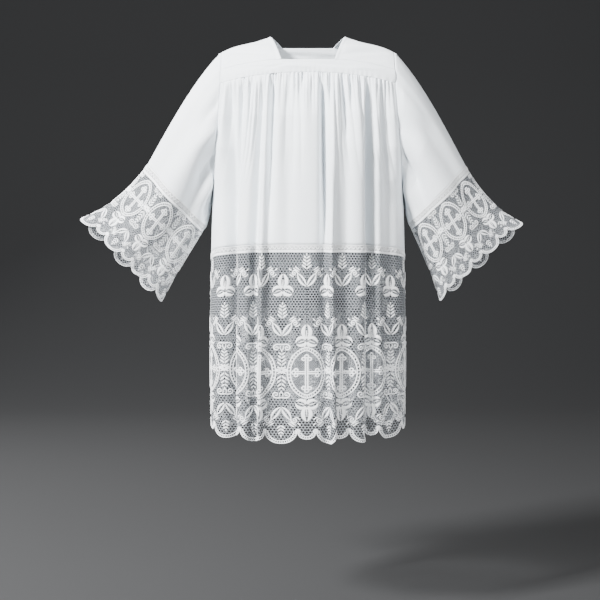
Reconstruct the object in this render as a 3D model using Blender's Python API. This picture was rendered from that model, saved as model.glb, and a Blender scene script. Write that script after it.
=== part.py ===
"""A surplice worn on a general figure: square neck, yoke, gathered body, wide sleeves, lace hem and cuffs.

X runs from the wearer's right sleeve (-X) to the left (+X), the front faces -Y and Z is up.
The origin is between the two neck ends of the shoulder line, where the wearer's shoulders hold it.
Each sewn piece is one closed wall of cloth, laid inwards from its outer surface.
"""
import bpy
import numpy as np

# ---- driving dimensions, in metres ----
CLOTH = 0.0015              # wall of the cotton pieces
LACE = 0.0012               # wall of the lace pieces
SEAM_GAP = 0.00055          # nominal gap between two pieces at a seam; facets take up a part of it
YOKE_HALF = 0.2185          # centre to armhole seam at the yoke
NECK_HALF_FRONT = 0.066     # half of the square neck at its front edge
NECK_HALF_TOP = 0.094       # half of the neck opening on the shoulder line
NECK_DROP_FRONT = 0.061     # shoulder line down to the front neck edge
NECK_DROP_BACK = 0.022      # and to the back neck edge
SHOULDER_FALL = 0.25        # fall of the shoulder line for each metre outwards
SHOULDER_ROUND = 0.007      # how much more it falls at the armhole
SHOULDER_ROUND_FROM = 0.170 # and where that begins
BAND_SIDE_DROP = 0.024      # how much lower the band's upper seam is at the armhole, in front
BACK_SIDE_DROP = 0.045      # and at the back
GATHER_Z = -0.093           # gather seam at the centre
GATHER_SIDE_DROP = 0.027    # how much lower it is at the armhole
SEAM_Z = -0.520             # lace seam at the centre
SEAM_SIDE_DROP = 0.035      # how much lower it is at the side seam
INSERTION = 0.016           # depth of the narrow lace insertion
HEM_Z = -1.012              # lowest scallop of the hem
HEM_SIDE_RISE = 0.020       # how much higher the hem is at the side seam
ROUNDNESS = 2.35            # exponent of the body's oval section
GATHER_DROP_POWER = 2.2     # how late across the panel the gather seam, lace seam and hem bend away
SEAM_DROP_POWER = 3.5
HEM_RISE_POWER = 4.0
FOLD_START = 0.22           # level at which the folds have grown to their full height
EDGE_CALM = 0.06            # part of the half panel beside its edge in which the folds die away
PINCH_REACH = 1.6           # sideways pull at a ridge's foot, in half widths
BAND_DEPTH = {-1: 0.078, 1: 0.072}        # band's upper seam to the shoulder line at the centre
BAND_DEPTH_LOSS = {-1: 0.018, 1: 0.014}   # and how much less it is at the armhole
BAND_DROP_POWER = 1.8       # how late outwards from the neck that seam drops
YOKE_BEND_POWER = 1.7       # how late from the shoulder line the shoulder surface drops
NECK_BEND_POWER = 1.3       # how square the neck edge is to the shoulder line
CUFF_FLARE_POWER = 1.8      # how late down the cuff it widens
UNDERARM_LIFT = 0.0017      # sleeve's underarm point above the head of the side seam
SLOPE_STEP = 0.001          # step over which a slope is taken
COLUMNS = 40                # panels across each body piece
YOKE_COLUMNS = 5            # panels across each shoulder piece
YOKE_ROWS = 6               # panels from its front seam to its back seam

# Body section at each height: where the panel's edge lies and how deep the centre is.
# Above the underarm the edge is the armhole; below it the side seam, at y = 0.
SECTION_COLUMNS = ("z", "edge_x", "edge_y", "centre_front", "centre_back")
SECTIONS = (
    (-0.060, 0.2185, 0.060, 0.075, 0.072),
    (-0.120, 0.2190, 0.072, 0.104, 0.098),
    (-0.200, 0.2245, 0.082, 0.128, 0.122),
    (-0.280, 0.2315, 0.078, 0.140, 0.134),
    (-0.360, 0.2380, 0.052, 0.147, 0.140),
    (-0.390, 0.2405, 0.032, 0.149, 0.142),
    (-0.425, 0.2425, 0.000, 0.151, 0.145),
    (-0.560, 0.2460, 0.000, 0.160, 0.153),
    (-0.740, 0.2500, 0.000, 0.173, 0.166),
    (-0.900, 0.2490, 0.000, 0.181, 0.175),
    (-1.020, 0.2450, 0.000, 0.186, 0.180),
)

# Folds of the front: x of the fold at the gather seam, at the lace seam and at the hem; its height
# (a trough is negative) at a quarter of the body, at the lace seam and at the hem; half width; pinch.
FOLD_COLUMNS = ("x_top", "x_seam", "x_hem", "high", "seam", "hem", "half_width", "pinch")
FRONT_FOLDS = (
    (-0.214, -0.222, -0.226, 0.004, 0.006, 0.008, 0.020, 0.0),
    (-0.188, -0.193, -0.196, -0.016, -0.030, -0.036, 0.012, 0.2),
    (-0.160, -0.160, -0.165, -0.006, 0.004, 0.004, 0.020, 0.0),
    (-0.112, -0.136, -0.140, -0.018, -0.022, -0.026, 0.011, 0.1),
    (-0.092, -0.112, -0.114, 0.006, 0.018, 0.028, 0.011, 0.5),
    (-0.046, -0.052, -0.060, -0.008, -0.003, -0.003, 0.016, 0.0),
    (0.010, 0.004, 0.002, 0.003, 0.004, 0.004, 0.034, 0.0),
    (0.043, 0.038, 0.044, -0.015, -0.012, -0.012, 0.011, 0.0),
    (0.064, 0.056, 0.062, 0.006, 0.017, 0.028, 0.011, 0.6),
    (0.096, 0.094, 0.093, -0.006, -0.004, -0.004, 0.013, 0.0),
    (0.128, 0.126, 0.126, 0.005, 0.004, 0.004, 0.020, 0.0),
    (0.155, 0.158, 0.158, -0.020, -0.034, -0.040, 0.012, 0.2),
    (0.198, 0.200, 0.206, -0.010, -0.008, -0.010, 0.014, 0.0),
    (0.216, 0.226, 0.230, 0.004, 0.006, 0.008, 0.018, 0.0),
)
BACK_FOLDS = (
    (-0.205, -0.214, -0.216, -0.008, -0.010, -0.012, 0.014, 0.1),
    (-0.165, -0.170, -0.172, -0.016, -0.026, -0.030, 0.014, 0.2),
    (-0.136, -0.142, -0.146, 0.006, 0.008, 0.010, 0.020, 0.3),
    (-0.098, -0.100, -0.104, -0.014, -0.020, -0.022, 0.014, 0.1),
    (-0.060, -0.066, -0.072, 0.006, 0.009, 0.012, 0.018, 0.3),
    (-0.030, -0.034, -0.036, -0.013, -0.015, -0.016, 0.014, 0.1),
    (0.012, 0.010, 0.006, 0.005, 0.006, 0.008, 0.026, 0.0),
    (0.048, 0.050, 0.052, -0.015, -0.022, -0.024, 0.014, 0.1),
    (0.084, 0.088, 0.086, 0.006, 0.009, 0.012, 0.018, 0.4),
    (0.112, 0.120, 0.124, -0.014, -0.018, -0.020, 0.014, 0.1),
    (0.150, 0.154, 0.158, 0.006, 0.008, 0.010, 0.020, 0.2),
    (0.182, 0.188, 0.194, -0.015, -0.023, -0.026, 0.014, 0.2),
)

# Levels of the body grid: 0 gather seam, 1 lace seam, 2 hem.
BODY_LEVELS = (0.0, 0.08, 0.20, 0.34, 0.48, 0.60, 0.6966, 0.85, 1.0)
UNDERARM_ROW = 6
LACE_LEVELS = (0.0, 0.25, 0.5, 0.75, 1.0)

# Sleeves: outer and inner end of the cuff seam and of the lace edge, as distance from the centre and
# height, and the half depth of each ring.
SLEEVE_COLUMNS = ("seam_out_x", "seam_out_z", "seam_in_x", "seam_in_z", "seam_half_depth",
                  "edge_out_x", "edge_out_z", "edge_in_x", "edge_in_z", "edge_half_depth")
SLEEVES = {
    -1: (0.408, -0.320, 0.258, -0.476, 0.088, 0.591, -0.463, 0.379, -0.678, 0.056),
    1: (0.402, -0.324, 0.256, -0.468, 0.088, 0.558, -0.475, 0.342, -0.676, 0.058),
}
SLEEVE_LEVELS = (0.0, 0.15, 0.40, 0.70, 1.0)
CUFF_LEVELS = (0.0, 0.35, 0.7, 1.0)
CUFF_LENGTH = 0.235         # sleeve's cuff seam to its lace edge
UNDERARM_CLEARANCE = 0.007  # between the body and the sleeve's underside
SLEEVE_BELLY = 0.012        # how far the upper side of the sleeve stands out at its fullest
SLEEVE_BELLY_RISE = 0.7     # below 1, the fullest place is nearer the shoulder
CUFF_SAG = 0.012            # how far the middle of the cuff hangs below its straight line
EDGE_SKEW = 0.012           # how much further the back of the cuff's edge reaches than its front
# Sleeve folds: place round the ring at the armhole and at the cuff (0 top, -1 to 0 front, 0 to 1 back),
# height at the middle, at the cuff seam and at the edge, half width.
SLEEVE_FOLD_COLUMNS = ("at_top", "at_cuff", "middle", "seam", "edge", "half_width")
SLEEVE_FOLDS = (
    (-0.62, -0.66, -0.016, -0.012, -0.006, 0.09),
    (-0.44, -0.46, 0.008, 0.006, 0.004, 0.10),
    (-0.26, -0.28, -0.006, -0.006, -0.008, 0.08),
    (0.34, 0.32, -0.012, -0.012, -0.008, 0.09),
    (0.56, 0.56, 0.008, 0.006, 0.005, 0.10),
    (0.74, 0.74, -0.010, -0.010, -0.006, 0.09),
)


def unit(vectors):
    """Each vector divided by its length."""
    return vectors / np.maximum(np.linalg.norm(vectors, axis=-1, keepdims=True), 1e-9)


def column(table, names, name):
    """One named column of a table, as an array."""
    return np.array([row[names.index(name)] for row in table], dtype=float)


def section_value(name, z):
    """A column of SECTIONS read at height z."""
    heights = column(SECTIONS, SECTION_COLUMNS, "z")
    return np.interp(-z, -heights, column(SECTIONS, SECTION_COLUMNS, name))


def level_height(spread, level):
    """Height of a level at a place across the panel (spread -1 to 1)."""
    gather = GATHER_Z - GATHER_SIDE_DROP * np.abs(spread) ** GATHER_DROP_POWER
    seam = SEAM_Z - SEAM_SIDE_DROP * np.abs(spread) ** SEAM_DROP_POWER
    hem = HEM_Z + HEM_SIDE_RISE * np.abs(spread) ** HEM_RISE_POWER
    above = gather + (seam - gather) * level
    below = seam + (hem - seam) * (level - 1.0)
    return np.where(level <= 1.0, above, below)


def oval_quarter(z, side):
    """Dense points of the smooth section from one edge through the centre to the other.

    x = edge * (sin a / sin a_edge)^(2/n), y = depth * cos(a)^(2/n), n the roundness.
    """
    edge_x = section_value("edge_x", z)
    edge_y = section_value("edge_y", z)
    depth = section_value("centre_front" if side < 0 else "centre_back", z)
    power = 2.0 / ROUNDNESS
    edge_angle = np.arccos(np.clip(edge_y / depth, 0, 1) ** (1 / power))
    angle = np.linspace(0.0, edge_angle, 400)
    x = edge_x * (np.sin(angle) / np.sin(edge_angle)) ** power
    y = depth * np.clip(np.cos(angle), 0, 1) ** power
    x = np.concatenate([-x[:0:-1], x])
    y = side * np.concatenate([y[:0:-1], y])
    return x, y


def fold_heights(x, level, folds):
    """Height of the folds and their sideways pinch at places x: a sum of soft bells.

    A bell is exp(-r^2) for r the distance over the half width. The pinch draws in the foot of a ridge.
    """
    fade = np.clip(level / FOLD_START, 0, 1)
    fade = fade * fade * (3 - 2 * fade)
    height = np.zeros_like(x)
    shift = np.zeros_like(x)
    for values in folds:
        fold = dict(zip(FOLD_COLUMNS, values))
        centre = np.interp(level, (0, 1, 2), (fold["x_top"], fold["x_seam"], fold["x_hem"]))
        size = fade * np.interp(level, (0.25, 1, 2), (fold["high"], fold["seam"], fold["hem"]))
        distance = (x - centre) / fold["half_width"]
        height = height + size * np.exp(-distance ** 2)
        draw = fold["pinch"] * np.interp(level, (0.5, 1, 2), (0, 0.5, 1))
        pull = draw * fold["half_width"] * PINCH_REACH * distance ** 3 * np.exp(-distance ** 2)
        shift = shift - pull
    return height, shift


def body_row(level, side, spread):
    """Points of one level of a body panel at places spread (-1 to 1 by length along the section)."""
    folds = FRONT_FOLDS if side < 0 else BACK_FOLDS
    middle = level_height(np.array(0.6), np.array(level))
    base_x, base_y = oval_quarter(middle, side)
    length = np.concatenate([[0], np.cumsum(np.hypot(np.diff(base_x), np.diff(base_y)))])
    place = (spread + 1) / 2 * length[-1]
    z = level_height(spread, np.array(level))
    # each place takes the section of its own height
    points = np.empty((len(spread), 3))
    x_here = np.interp(place, length, base_x)
    height, shift = fold_heights(x_here, level, folds)
    calm = np.clip((1 - np.abs(spread)) / EDGE_CALM, 0, 1)
    height = height * calm
    shift = shift * calm
    place = np.clip(place + shift, 0, length[-1])
    for i in range(len(spread)):
        x_oval, y_oval = oval_quarter(z[i], side)
        run = np.concatenate([[0], np.cumsum(np.hypot(np.diff(x_oval), np.diff(y_oval)))])
        here = place[i] / length[-1] * run[-1]
        step = 0.002
        a = (np.interp(here - step, run, x_oval), np.interp(here - step, run, y_oval))
        b = (np.interp(here + step, run, x_oval), np.interp(here + step, run, y_oval))
        along = np.array([b[0] - a[0], b[1] - a[1]])
        along = along / np.linalg.norm(along)
        outwards = np.array([-along[1], along[0]]) * side
        points[i, 0] = np.interp(here, run, x_oval) + outwards[0] * height[i]
        points[i, 1] = np.interp(here, run, y_oval) + outwards[1] * height[i]
        points[i, 2] = z[i]
    return points


def even_spread(side):
    """Places across the panel, closer together where the hem is folded, so that each fold is followed."""
    fine = np.linspace(-1, 1, 481)
    low = body_row(1.7, side, fine)
    length = np.concatenate([[0], np.cumsum(np.linalg.norm(np.diff(low, axis=0), axis=1))])
    return np.interp(np.linspace(0, length[-1], COLUMNS + 1), length, fine)


def along_seam(x, smooth):
    """A value along the band's upper seam: smooth across the neck, straight between the yoke's columns."""
    knots = NECK_HALF_FRONT + (YOKE_HALF - NECK_HALF_FRONT) * np.linspace(0, 1, YOKE_COLUMNS + 1)
    straight = np.interp(np.abs(x), knots, smooth(knots))
    return np.where(np.abs(x) < NECK_HALF_FRONT, smooth(np.abs(x)), straight)


def upper_seam_depth(x, side):
    """Distance of the band's upper seam from the shoulder line, front (side -1) or back (1)."""
    return along_seam(x, lambda place: BAND_DEPTH[side] - BAND_DEPTH_LOSS[side] * (place / YOKE_HALF) ** 2)


def upper_seam_height(x, side):
    """Height of that seam: level at the neck edge, lower towards the armhole."""
    start, drop = (NECK_DROP_FRONT, BAND_SIDE_DROP) if side < 0 else (NECK_DROP_BACK, BACK_SIDE_DROP)

    def smooth(place):
        reach = np.clip((place - NECK_HALF_FRONT) / (YOKE_HALF - NECK_HALF_FRONT), 0, 1)
        return -start - drop * reach ** BAND_DROP_POWER

    return along_seam(x, smooth)


def yoke_height(x, y):
    """Height of the shoulder surface: the shoulder line less a drop that grows to the front and back seam."""
    rounding = np.maximum((np.abs(x) - SHOULDER_ROUND_FROM) / (YOKE_HALF - SHOULDER_ROUND_FROM), 0.0)
    ridge = -SHOULDER_FALL * np.maximum(np.abs(x) - NECK_HALF_TOP, 0.0) - SHOULDER_ROUND * rounding ** 2
    seam = np.where(y < 0, upper_seam_height(x, -1), upper_seam_height(x, 1))
    depth = np.where(y < 0, upper_seam_depth(x, -1), upper_seam_depth(x, 1))
    return ridge - (ridge - seam) * (np.abs(y) / depth) ** YOKE_BEND_POWER


def body_grid(side):
    """All rows of one side: the band's upper seam, then the body, insertion and lace levels."""
    spread = even_spread(side)
    rows = []
    gather = body_row(0.0, side, spread)
    x = gather[:, 0] * (YOKE_HALF / np.abs(gather[-1, 0]))
    y = side * upper_seam_depth(x, side)
    rows.append(np.stack([x, y, yoke_height(x, y)], axis=1))
    for level in BODY_LEVELS:
        rows.append(body_row(level, side, spread))
    lace_depth = SEAM_Z - HEM_Z
    top = INSERTION / lace_depth
    for part in LACE_LEVELS:
        rows.append(body_row(1.0 + top + (1.0 - top) * part, side, spread))
    grid = np.array(rows)
    # below the underarm the edges are the side seams, half a gap from the middle plane
    first_side_row = 1 + UNDERARM_ROW
    grid[first_side_row:, (0, -1), 1] = side * SEAM_GAP / 2
    grid[first_side_row:, :, 1] = side * np.maximum(side * grid[first_side_row:, :, 1], SEAM_GAP / 2)
    return grid


def grid_normals(grid, closed=False):
    """Outward normals of a grid from its central differences."""
    if closed:
        across = np.roll(grid, -1, axis=1) - np.roll(grid, 1, axis=1)
    else:
        across = np.gradient(grid, axis=1)
    down = np.gradient(grid, axis=0)
    return unit(np.cross(across, down))


def yoke_grid(arm):
    """Grid of one shoulder piece: rows from its front seam to its back seam, columns from neck to armhole."""
    turn = np.linspace(-1.0, 1.0, YOKE_ROWS + 1)
    across = np.linspace(0.0, 1.0, YOKE_COLUMNS + 1)
    neck_front = NECK_HALF_FRONT + (NECK_HALF_TOP - NECK_HALF_FRONT) * (1 - np.abs(turn) ** NECK_BEND_POWER)
    x = neck_front[:, None] + (YOKE_HALF - neck_front[:, None]) * across[None, :]
    depth = np.where(turn[:, None] < 0, upper_seam_depth(x, -1), upper_seam_depth(x, 1))
    y = turn[:, None] * depth
    return np.stack([arm * x, y, yoke_height(x, y)], axis=2)


def wall(name, outer, normals, thickness, material, closed=False):
    """One closed wall: the outer grid, the same grid moved inwards, and a rim all round."""
    rows, columns = outer.shape[:2]
    inner = outer - normals * thickness
    vertices = np.concatenate([outer.reshape(-1, 3), inner.reshape(-1, 3)])
    index = np.arange(rows * columns).reshape(rows, columns)
    if closed:
        index = np.concatenate([index, index[:, :1]], axis=1)
    offset = rows * columns
    triangles = []
    a, b, c, d = index[:-1, :-1], index[1:, :-1], index[1:, 1:], index[:-1, 1:]
    outside = np.concatenate([np.stack([a, b, c], -1).reshape(-1, 3), np.stack([a, c, d], -1).reshape(-1, 3)])
    triangles.append(outside)
    triangles.append(outside[:, ::-1] + offset)
    rims = [index[-1], index[0][::-1]]
    if not closed:
        rims.append(index[:, 0])
        rims.append(index[::-1, -1])
    for rim in rims:
        p, q = rim[:-1], rim[1:]
        triangles.append(np.stack([p, p + offset, q], -1))
        triangles.append(np.stack([q, p + offset, q + offset], -1))
    faces = np.concatenate(triangles)
    mesh = bpy.data.meshes.new(name)
    mesh.from_pydata(vertices.tolist(), [], faces.tolist())
    mesh.validate()
    volume = signed_volume(vertices, faces)
    if volume < 0:
        mesh.flip_normals()
    mesh.materials.append(material)
    mesh.shade_smooth()
    thing = bpy.data.objects.new(name, mesh)
    bpy.context.scene.collection.objects.link(thing)
    return thing


def signed_volume(vertices, faces):
    """Sum of the tetrahedra from the origin to each triangle."""
    a, b, c = vertices[faces[:, 0]], vertices[faces[:, 1]], vertices[faces[:, 2]]
    return float(np.einsum("ij,ij->i", a, np.cross(b, c)).sum() / 6)


def finish(name, colour, roughness):
    """A plain Principled material."""
    material = bpy.data.materials.new(name)
    material.use_nodes = True
    shader = material.node_tree.nodes["Principled BSDF"]
    shader.inputs["Base Color"].default_value = (*colour, 1.0)
    shader.inputs["Roughness"].default_value = roughness
    shader.inputs["Metallic"].default_value = 0.0
    return material


def cut_rows(grid, normals, first, last):
    """The rows first to last of a grid, its end rows drawn back half a gap from the seams."""
    piece = grid[first:last + 1].copy()
    piece_normals = normals[first:last + 1]
    down = unit(np.gradient(grid, axis=0))[first:last + 1]
    flat = down - piece_normals * np.sum(down * piece_normals, axis=2, keepdims=True)
    flat = unit(flat)
    piece[0] += flat[0] * SEAM_GAP / 2
    piece[-1] -= flat[-1] * SEAM_GAP / 2
    return piece, piece_normals


def armhole_loop(arm, front, back, yoke):
    """Points round an armhole from the underarm up the front, over the shoulder and down the back.

    Returns the points, and for each the direction in which its panel runs into the seam.
    """
    edge = -1 if arm > 0 else 0
    inner = -2 if arm > 0 else 1
    top = 1
    low = 1 + UNDERARM_ROW
    points = [np.array([front[low, edge, 0], 0.0, front[low, edge, 2]])]
    runs = [np.array([float(arm), 0.0, 0.6])]
    for row in range(low - 1, top - 1, -1):
        points.append(front[row, edge])
        runs.append(front[row, edge] - front[row, inner])
    for row in range(YOKE_ROWS + 1):
        points.append(yoke[row, -1])
        runs.append(yoke[row, -1] - yoke[row, -2])
    for row in range(top, low):
        points.append(back[row, edge])
        runs.append(back[row, edge] - back[row, inner])
    return np.array(points), unit(np.array(runs))


def ring_places(points):
    """Place of each loop point round the ring: 0 on the shoulder, -1 to 0 down the front, 0 to 1 the back."""
    step = np.linalg.norm(np.diff(np.vstack([points, points[:1]]), axis=0), axis=1)
    length = np.concatenate([[0], np.cumsum(step)])
    top = 1 + UNDERARM_ROW + YOKE_ROWS // 2
    front = length[:top + 1] / length[top] - 1.0
    back = (length[top + 1:-1] - length[top]) / (length[-1] - length[top])
    return np.concatenate([front, back])


def sleeve_ring(arm, places, level):
    """One ring of a cuff: an oval whose long axis is the seam's line, at a level from seam 0 to edge 1."""
    row = dict(zip(SLEEVE_COLUMNS, SLEEVES[arm]))
    seam_out = np.array([arm * row["seam_out_x"], 0, row["seam_out_z"]])
    seam_in = np.array([arm * row["seam_in_x"], 0, row["seam_in_z"]])
    edge_out = np.array([arm * row["edge_out_x"], 0, row["edge_out_z"]])
    edge_in = np.array([arm * row["edge_in_x"], 0, row["edge_in_z"]])
    centre = ((seam_out + seam_in) * (1 - level) + (edge_out + edge_in) * level) / 2
    centre = centre + np.array([0, 0, -CUFF_SAG * 4 * level * (1 - level)])
    flare = level ** CUFF_FLARE_POWER
    half = ((seam_out - seam_in) * (1 - flare) + (edge_out - edge_in) * flare) / 2
    depth = row["seam_half_depth"] * (1 - level) + row["edge_half_depth"] * level
    angle = places * np.pi
    points = centre + half * np.cos(angle)[:, None]
    points[:, 1] += depth * np.sin(angle)
    arm_line = unit((edge_out + edge_in) - (seam_out + seam_in))
    points += arm_line * (EDGE_SKEW * level * np.sin(angle))[:, None]
    return points


def sleeve_fold_height(places, level):
    """Height of the sleeve's folds: soft bells round the ring, level 0 armhole, 1 cuff seam, 2 edge."""
    height = np.zeros_like(places)
    for values in SLEEVE_FOLDS:
        fold = dict(zip(SLEEVE_FOLD_COLUMNS, values))
        centre = np.interp(level, (0, 1), (fold["at_top"], fold["at_cuff"]))
        size = np.interp(level, (0.0, 0.5, 1.0, 2.0), (0.0, fold["middle"], fold["seam"], fold["edge"]))
        height = height + size * np.exp(-((places - centre) / fold["half_width"]) ** 2)
    return height


def clear_of_body(points, arm):
    """Sleeve points moved outwards where they would come too near the side of the body.

    The body's side at y and z is edge_x * (1 - (y / depth)^n)^(1/n), n the roundness.
    """
    y, z = points[..., 1], points[..., 2]
    depth = np.where(y < 0, section_value("centre_front", z), section_value("centre_back", z))
    share = np.clip(1 - (np.abs(y) / depth) ** ROUNDNESS, 0.0, 1.0)
    side = section_value("edge_x", z) * share ** (1 / ROUNDNESS) + UNDERARM_CLEARANCE
    moved = points.copy()
    moved[..., 0] = arm * np.maximum(arm * points[..., 0], side)
    return moved


def sleeve_grid(arm, points, places):
    """Rings of one sleeve and cuff: armhole to cuff seam, the insertion, and the lace to its edge."""
    cuff = sleeve_ring(arm, places, 0.0)
    rings = []
    levels = []
    for level in SLEEVE_LEVELS:
        rings.append(points * (1 - level) + cuff * level)
        levels.append(level)
    first = INSERTION / CUFF_LENGTH
    for part in CUFF_LEVELS:
        level = first + (1 - first) * part
        rings.append(sleeve_ring(arm, places, level))
        levels.append(1 + level)
    grid = np.array(rings)
    normals = grid_normals(grid, closed=True)
    centre = grid.mean(axis=1, keepdims=True)
    sign = np.sign(np.sum(normals * (grid - centre), axis=2).sum())
    height = np.array([sleeve_fold_height(places, level) for level in levels])
    swell = SLEEVE_BELLY * np.sin(np.pi * np.minimum(levels, 1.0) ** SLEEVE_BELLY_RISE)
    upper = (1 + np.cos(np.pi * places)) / 2
    grid = grid + normals * sign * (height + swell[:, None] * upper)[:, :, None]
    grid[1:] = clear_of_body(grid[1:], arm)
    normals = grid_normals(grid, closed=True) * sign
    return grid, normals


for thing in list(bpy.data.objects):
    bpy.data.objects.remove(thing, do_unlink=True)

cotton = finish("white_cotton", (0.90, 0.91, 0.93), 0.85)
net = finish("white_lace", (0.88, 0.89, 0.90), 0.80)

lace_top = len(BODY_LEVELS)             # last body row, the lace seam
lace_first = lace_top + 1               # first lace row, under the insertion
last = lace_first + len(LACE_LEVELS) - 1

grids = {}
for side, label in ((-1, "front"), (1, "back")):
    grid = body_grid(side)
    normals = grid_normals(grid) * -side
    # side seams: the wall goes straight inwards, so both edges face each other squarely
    normals[1 + UNDERARM_ROW:, (0, -1), 1] = 0.0
    normals = unit(normals)
    if np.sum(normals[2:, COLUMNS // 2, 1]) * side < 0:
        normals = -normals
        normals[1 + UNDERARM_ROW:, (0, -1), 1] = 0.0
    # the band's upper edge stands square to the shoulder surface
    x, y = grid[0, :, 0], grid[0, :, 1]
    slope_x = (yoke_height(x + SLOPE_STEP, y) - yoke_height(x - SLOPE_STEP, y)) / (2 * SLOPE_STEP)
    slope_y = (yoke_height(x, y + SLOPE_STEP) - yoke_height(x, y - SLOPE_STEP)) / (2 * SLOPE_STEP)
    shoulder = unit(np.stack([-slope_x, -slope_y, np.ones_like(x)], axis=1))
    normals[0] = unit(shoulder + normals[1])
    grids[label] = [grid, normals]

yokes = {}
for arm, label in ((-1, "left"), (1, "right")):
    grid = yoke_grid(arm)
    normals = grid_normals(grid)
    normals = normals * np.sign(normals[:, :, 2:3].sum())
    for row, label_of_side in ((0, "front"), (-1, "back")):
        band, band_normals = grids[label_of_side]
        order = np.argsort(band[0, :, 0])
        for axis in range(3):
            along_edge = band_normals[0, order, axis]
            normals[row, :, axis] = np.interp(grid[row, :, 0], band[0, order, 0], along_edge)
    normals = unit(normals)
    yokes[label] = [grid, normals]

sleeves = {}
for arm, label in ((-1, "left"), (1, "right")):
    front, front_normals = grids["front"]
    back, back_normals = grids["back"]
    yoke, yoke_normals = yokes[label]
    points, runs = armhole_loop(arm, front, back, yoke)
    places = ring_places(points)
    # a point half way between each pair, so that the sleeve has twice the columns
    wrapped = np.append(places, 1.0)
    middle_points = (points + np.roll(points, -1, axis=0)) / 2
    middle_runs = unit(runs + np.roll(runs, -1, axis=0))
    middle_places = (wrapped[:-1] + wrapped[1:]) / 2
    count = len(points)
    all_points = np.empty((2 * count, 3))
    all_points[0::2], all_points[1::2] = points, middle_points
    all_runs = np.empty((2 * count, 3))
    all_runs[0::2], all_runs[1::2] = runs, middle_runs
    all_places = np.empty(2 * count)
    all_places[0::2], all_places[1::2] = places, middle_places
    grid, normals = sleeve_grid(arm, all_points, all_places)
    # both sides of the armhole seam stand on one mitre
    along = unit(np.roll(all_points, -1, axis=0) - np.roll(all_points, 1, axis=0))
    onwards = unit(all_runs + unit(grid[1] - grid[0]))
    onwards = unit(onwards - along * np.sum(along * onwards, axis=1, keepdims=True))
    mitre = np.cross(along, onwards)
    mitre = mitre * np.sign(np.sum(mitre * normals[1], axis=1).sum())
    normals[0] = mitre
    grid[0] = grid[0] + onwards * SEAM_GAP / 2
    sleeves[label] = [grid, normals]
    # the panels' edges draw back from the same mitre
    edge = -1 if arm > 0 else 0
    low = 1 + UNDERARM_ROW
    for k, row in enumerate(range(low - 1, 0, -1)):
        at = 2 * (1 + k)
        front[row, edge] -= onwards[at] * SEAM_GAP / 2
        front_normals[row, edge] = mitre[at]
    for row in range(YOKE_ROWS + 1):
        at = 2 * (low + row)
        yoke[row, -1] -= onwards[at] * SEAM_GAP / 2
        yoke_normals[row, -1] = mitre[at]
    front[0, edge] -= onwards[2 * low] * SEAM_GAP / 2
    front_normals[0, edge] = mitre[2 * low]
    back[0, edge] -= onwards[2 * (low + YOKE_ROWS)] * SEAM_GAP / 2
    back_normals[0, edge] = mitre[2 * (low + YOKE_ROWS)]
    for k, row in enumerate(range(1, low)):
        at = 2 * (low + YOKE_ROWS + 1 + k)
        back[row, edge] -= onwards[at] * SEAM_GAP / 2
        back_normals[row, edge] = mitre[at]
    # the underarm starts just above the side seam
    grid[0, 0, 2] += UNDERARM_LIFT

for label in ("front", "back"):
    grid, normals = grids[label]
    wall(label + "_yoke_band", *cut_rows(grid, normals, 0, 1), CLOTH, cotton)
    wall(label + "_body", *cut_rows(grid, normals, 1, lace_top), CLOTH, cotton)
    wall("hem_insertion_" + label, *cut_rows(grid, normals, lace_top, lace_first), LACE, net)
    piece, piece_normals = cut_rows(grid, normals, lace_first, last)
    wall("hem_lace_" + label, piece, piece_normals, LACE, net)

for label in ("left", "right"):
    grid, normals = yokes[label]
    wall("shoulder_yoke_" + label, *cut_rows(grid, normals, 0, YOKE_ROWS), CLOTH, cotton)
    grid, normals = sleeves[label]
    seam = len(SLEEVE_LEVELS) - 1
    end = seam + len(CUFF_LEVELS)
    piece, piece_normals = cut_rows(grid, normals, 0, seam)
    piece[0] = grid[0]
    wall("sleeve_" + label, piece, piece_normals, CLOTH, cotton, closed=True)
    wall("cuff_insertion_" + label, *cut_rows(grid, normals, seam, seam + 1), LACE, net, closed=True)
    wall("cuff_lace_" + label, *cut_rows(grid, normals, seam + 1, end), LACE, net, closed=True)
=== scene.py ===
import math

import bpy
import numpy as np
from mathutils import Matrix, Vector


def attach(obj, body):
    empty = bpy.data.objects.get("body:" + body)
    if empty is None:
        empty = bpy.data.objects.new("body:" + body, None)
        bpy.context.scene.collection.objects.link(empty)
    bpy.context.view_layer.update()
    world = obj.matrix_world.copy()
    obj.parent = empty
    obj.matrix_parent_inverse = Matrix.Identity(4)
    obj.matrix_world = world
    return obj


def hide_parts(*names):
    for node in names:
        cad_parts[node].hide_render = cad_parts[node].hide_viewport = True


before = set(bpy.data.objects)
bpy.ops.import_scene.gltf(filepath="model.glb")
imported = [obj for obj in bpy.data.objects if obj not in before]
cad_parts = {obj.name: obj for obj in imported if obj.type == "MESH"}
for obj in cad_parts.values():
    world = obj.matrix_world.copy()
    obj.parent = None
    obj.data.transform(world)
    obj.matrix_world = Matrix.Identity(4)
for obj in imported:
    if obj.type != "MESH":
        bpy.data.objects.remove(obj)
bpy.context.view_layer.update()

# --------------------------------------
# Studio: dark grey paper that sweeps up from the floor into a wall, so that the white lace shows.
# The camera stands straight in front at chest height and looks a little down. The surplice faces -Y.
VIEW_HEIGHT = -0.36
VIEW_DISTANCE = 4.1
AIM = (-0.020, -0.100, -0.661)
FLOOR_Z = -1.47
WALL_Y = 5.2
SWEEP_RADIUS = 1.8
ROOM = 9.0
WALL_HIGH = 8.0

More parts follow.
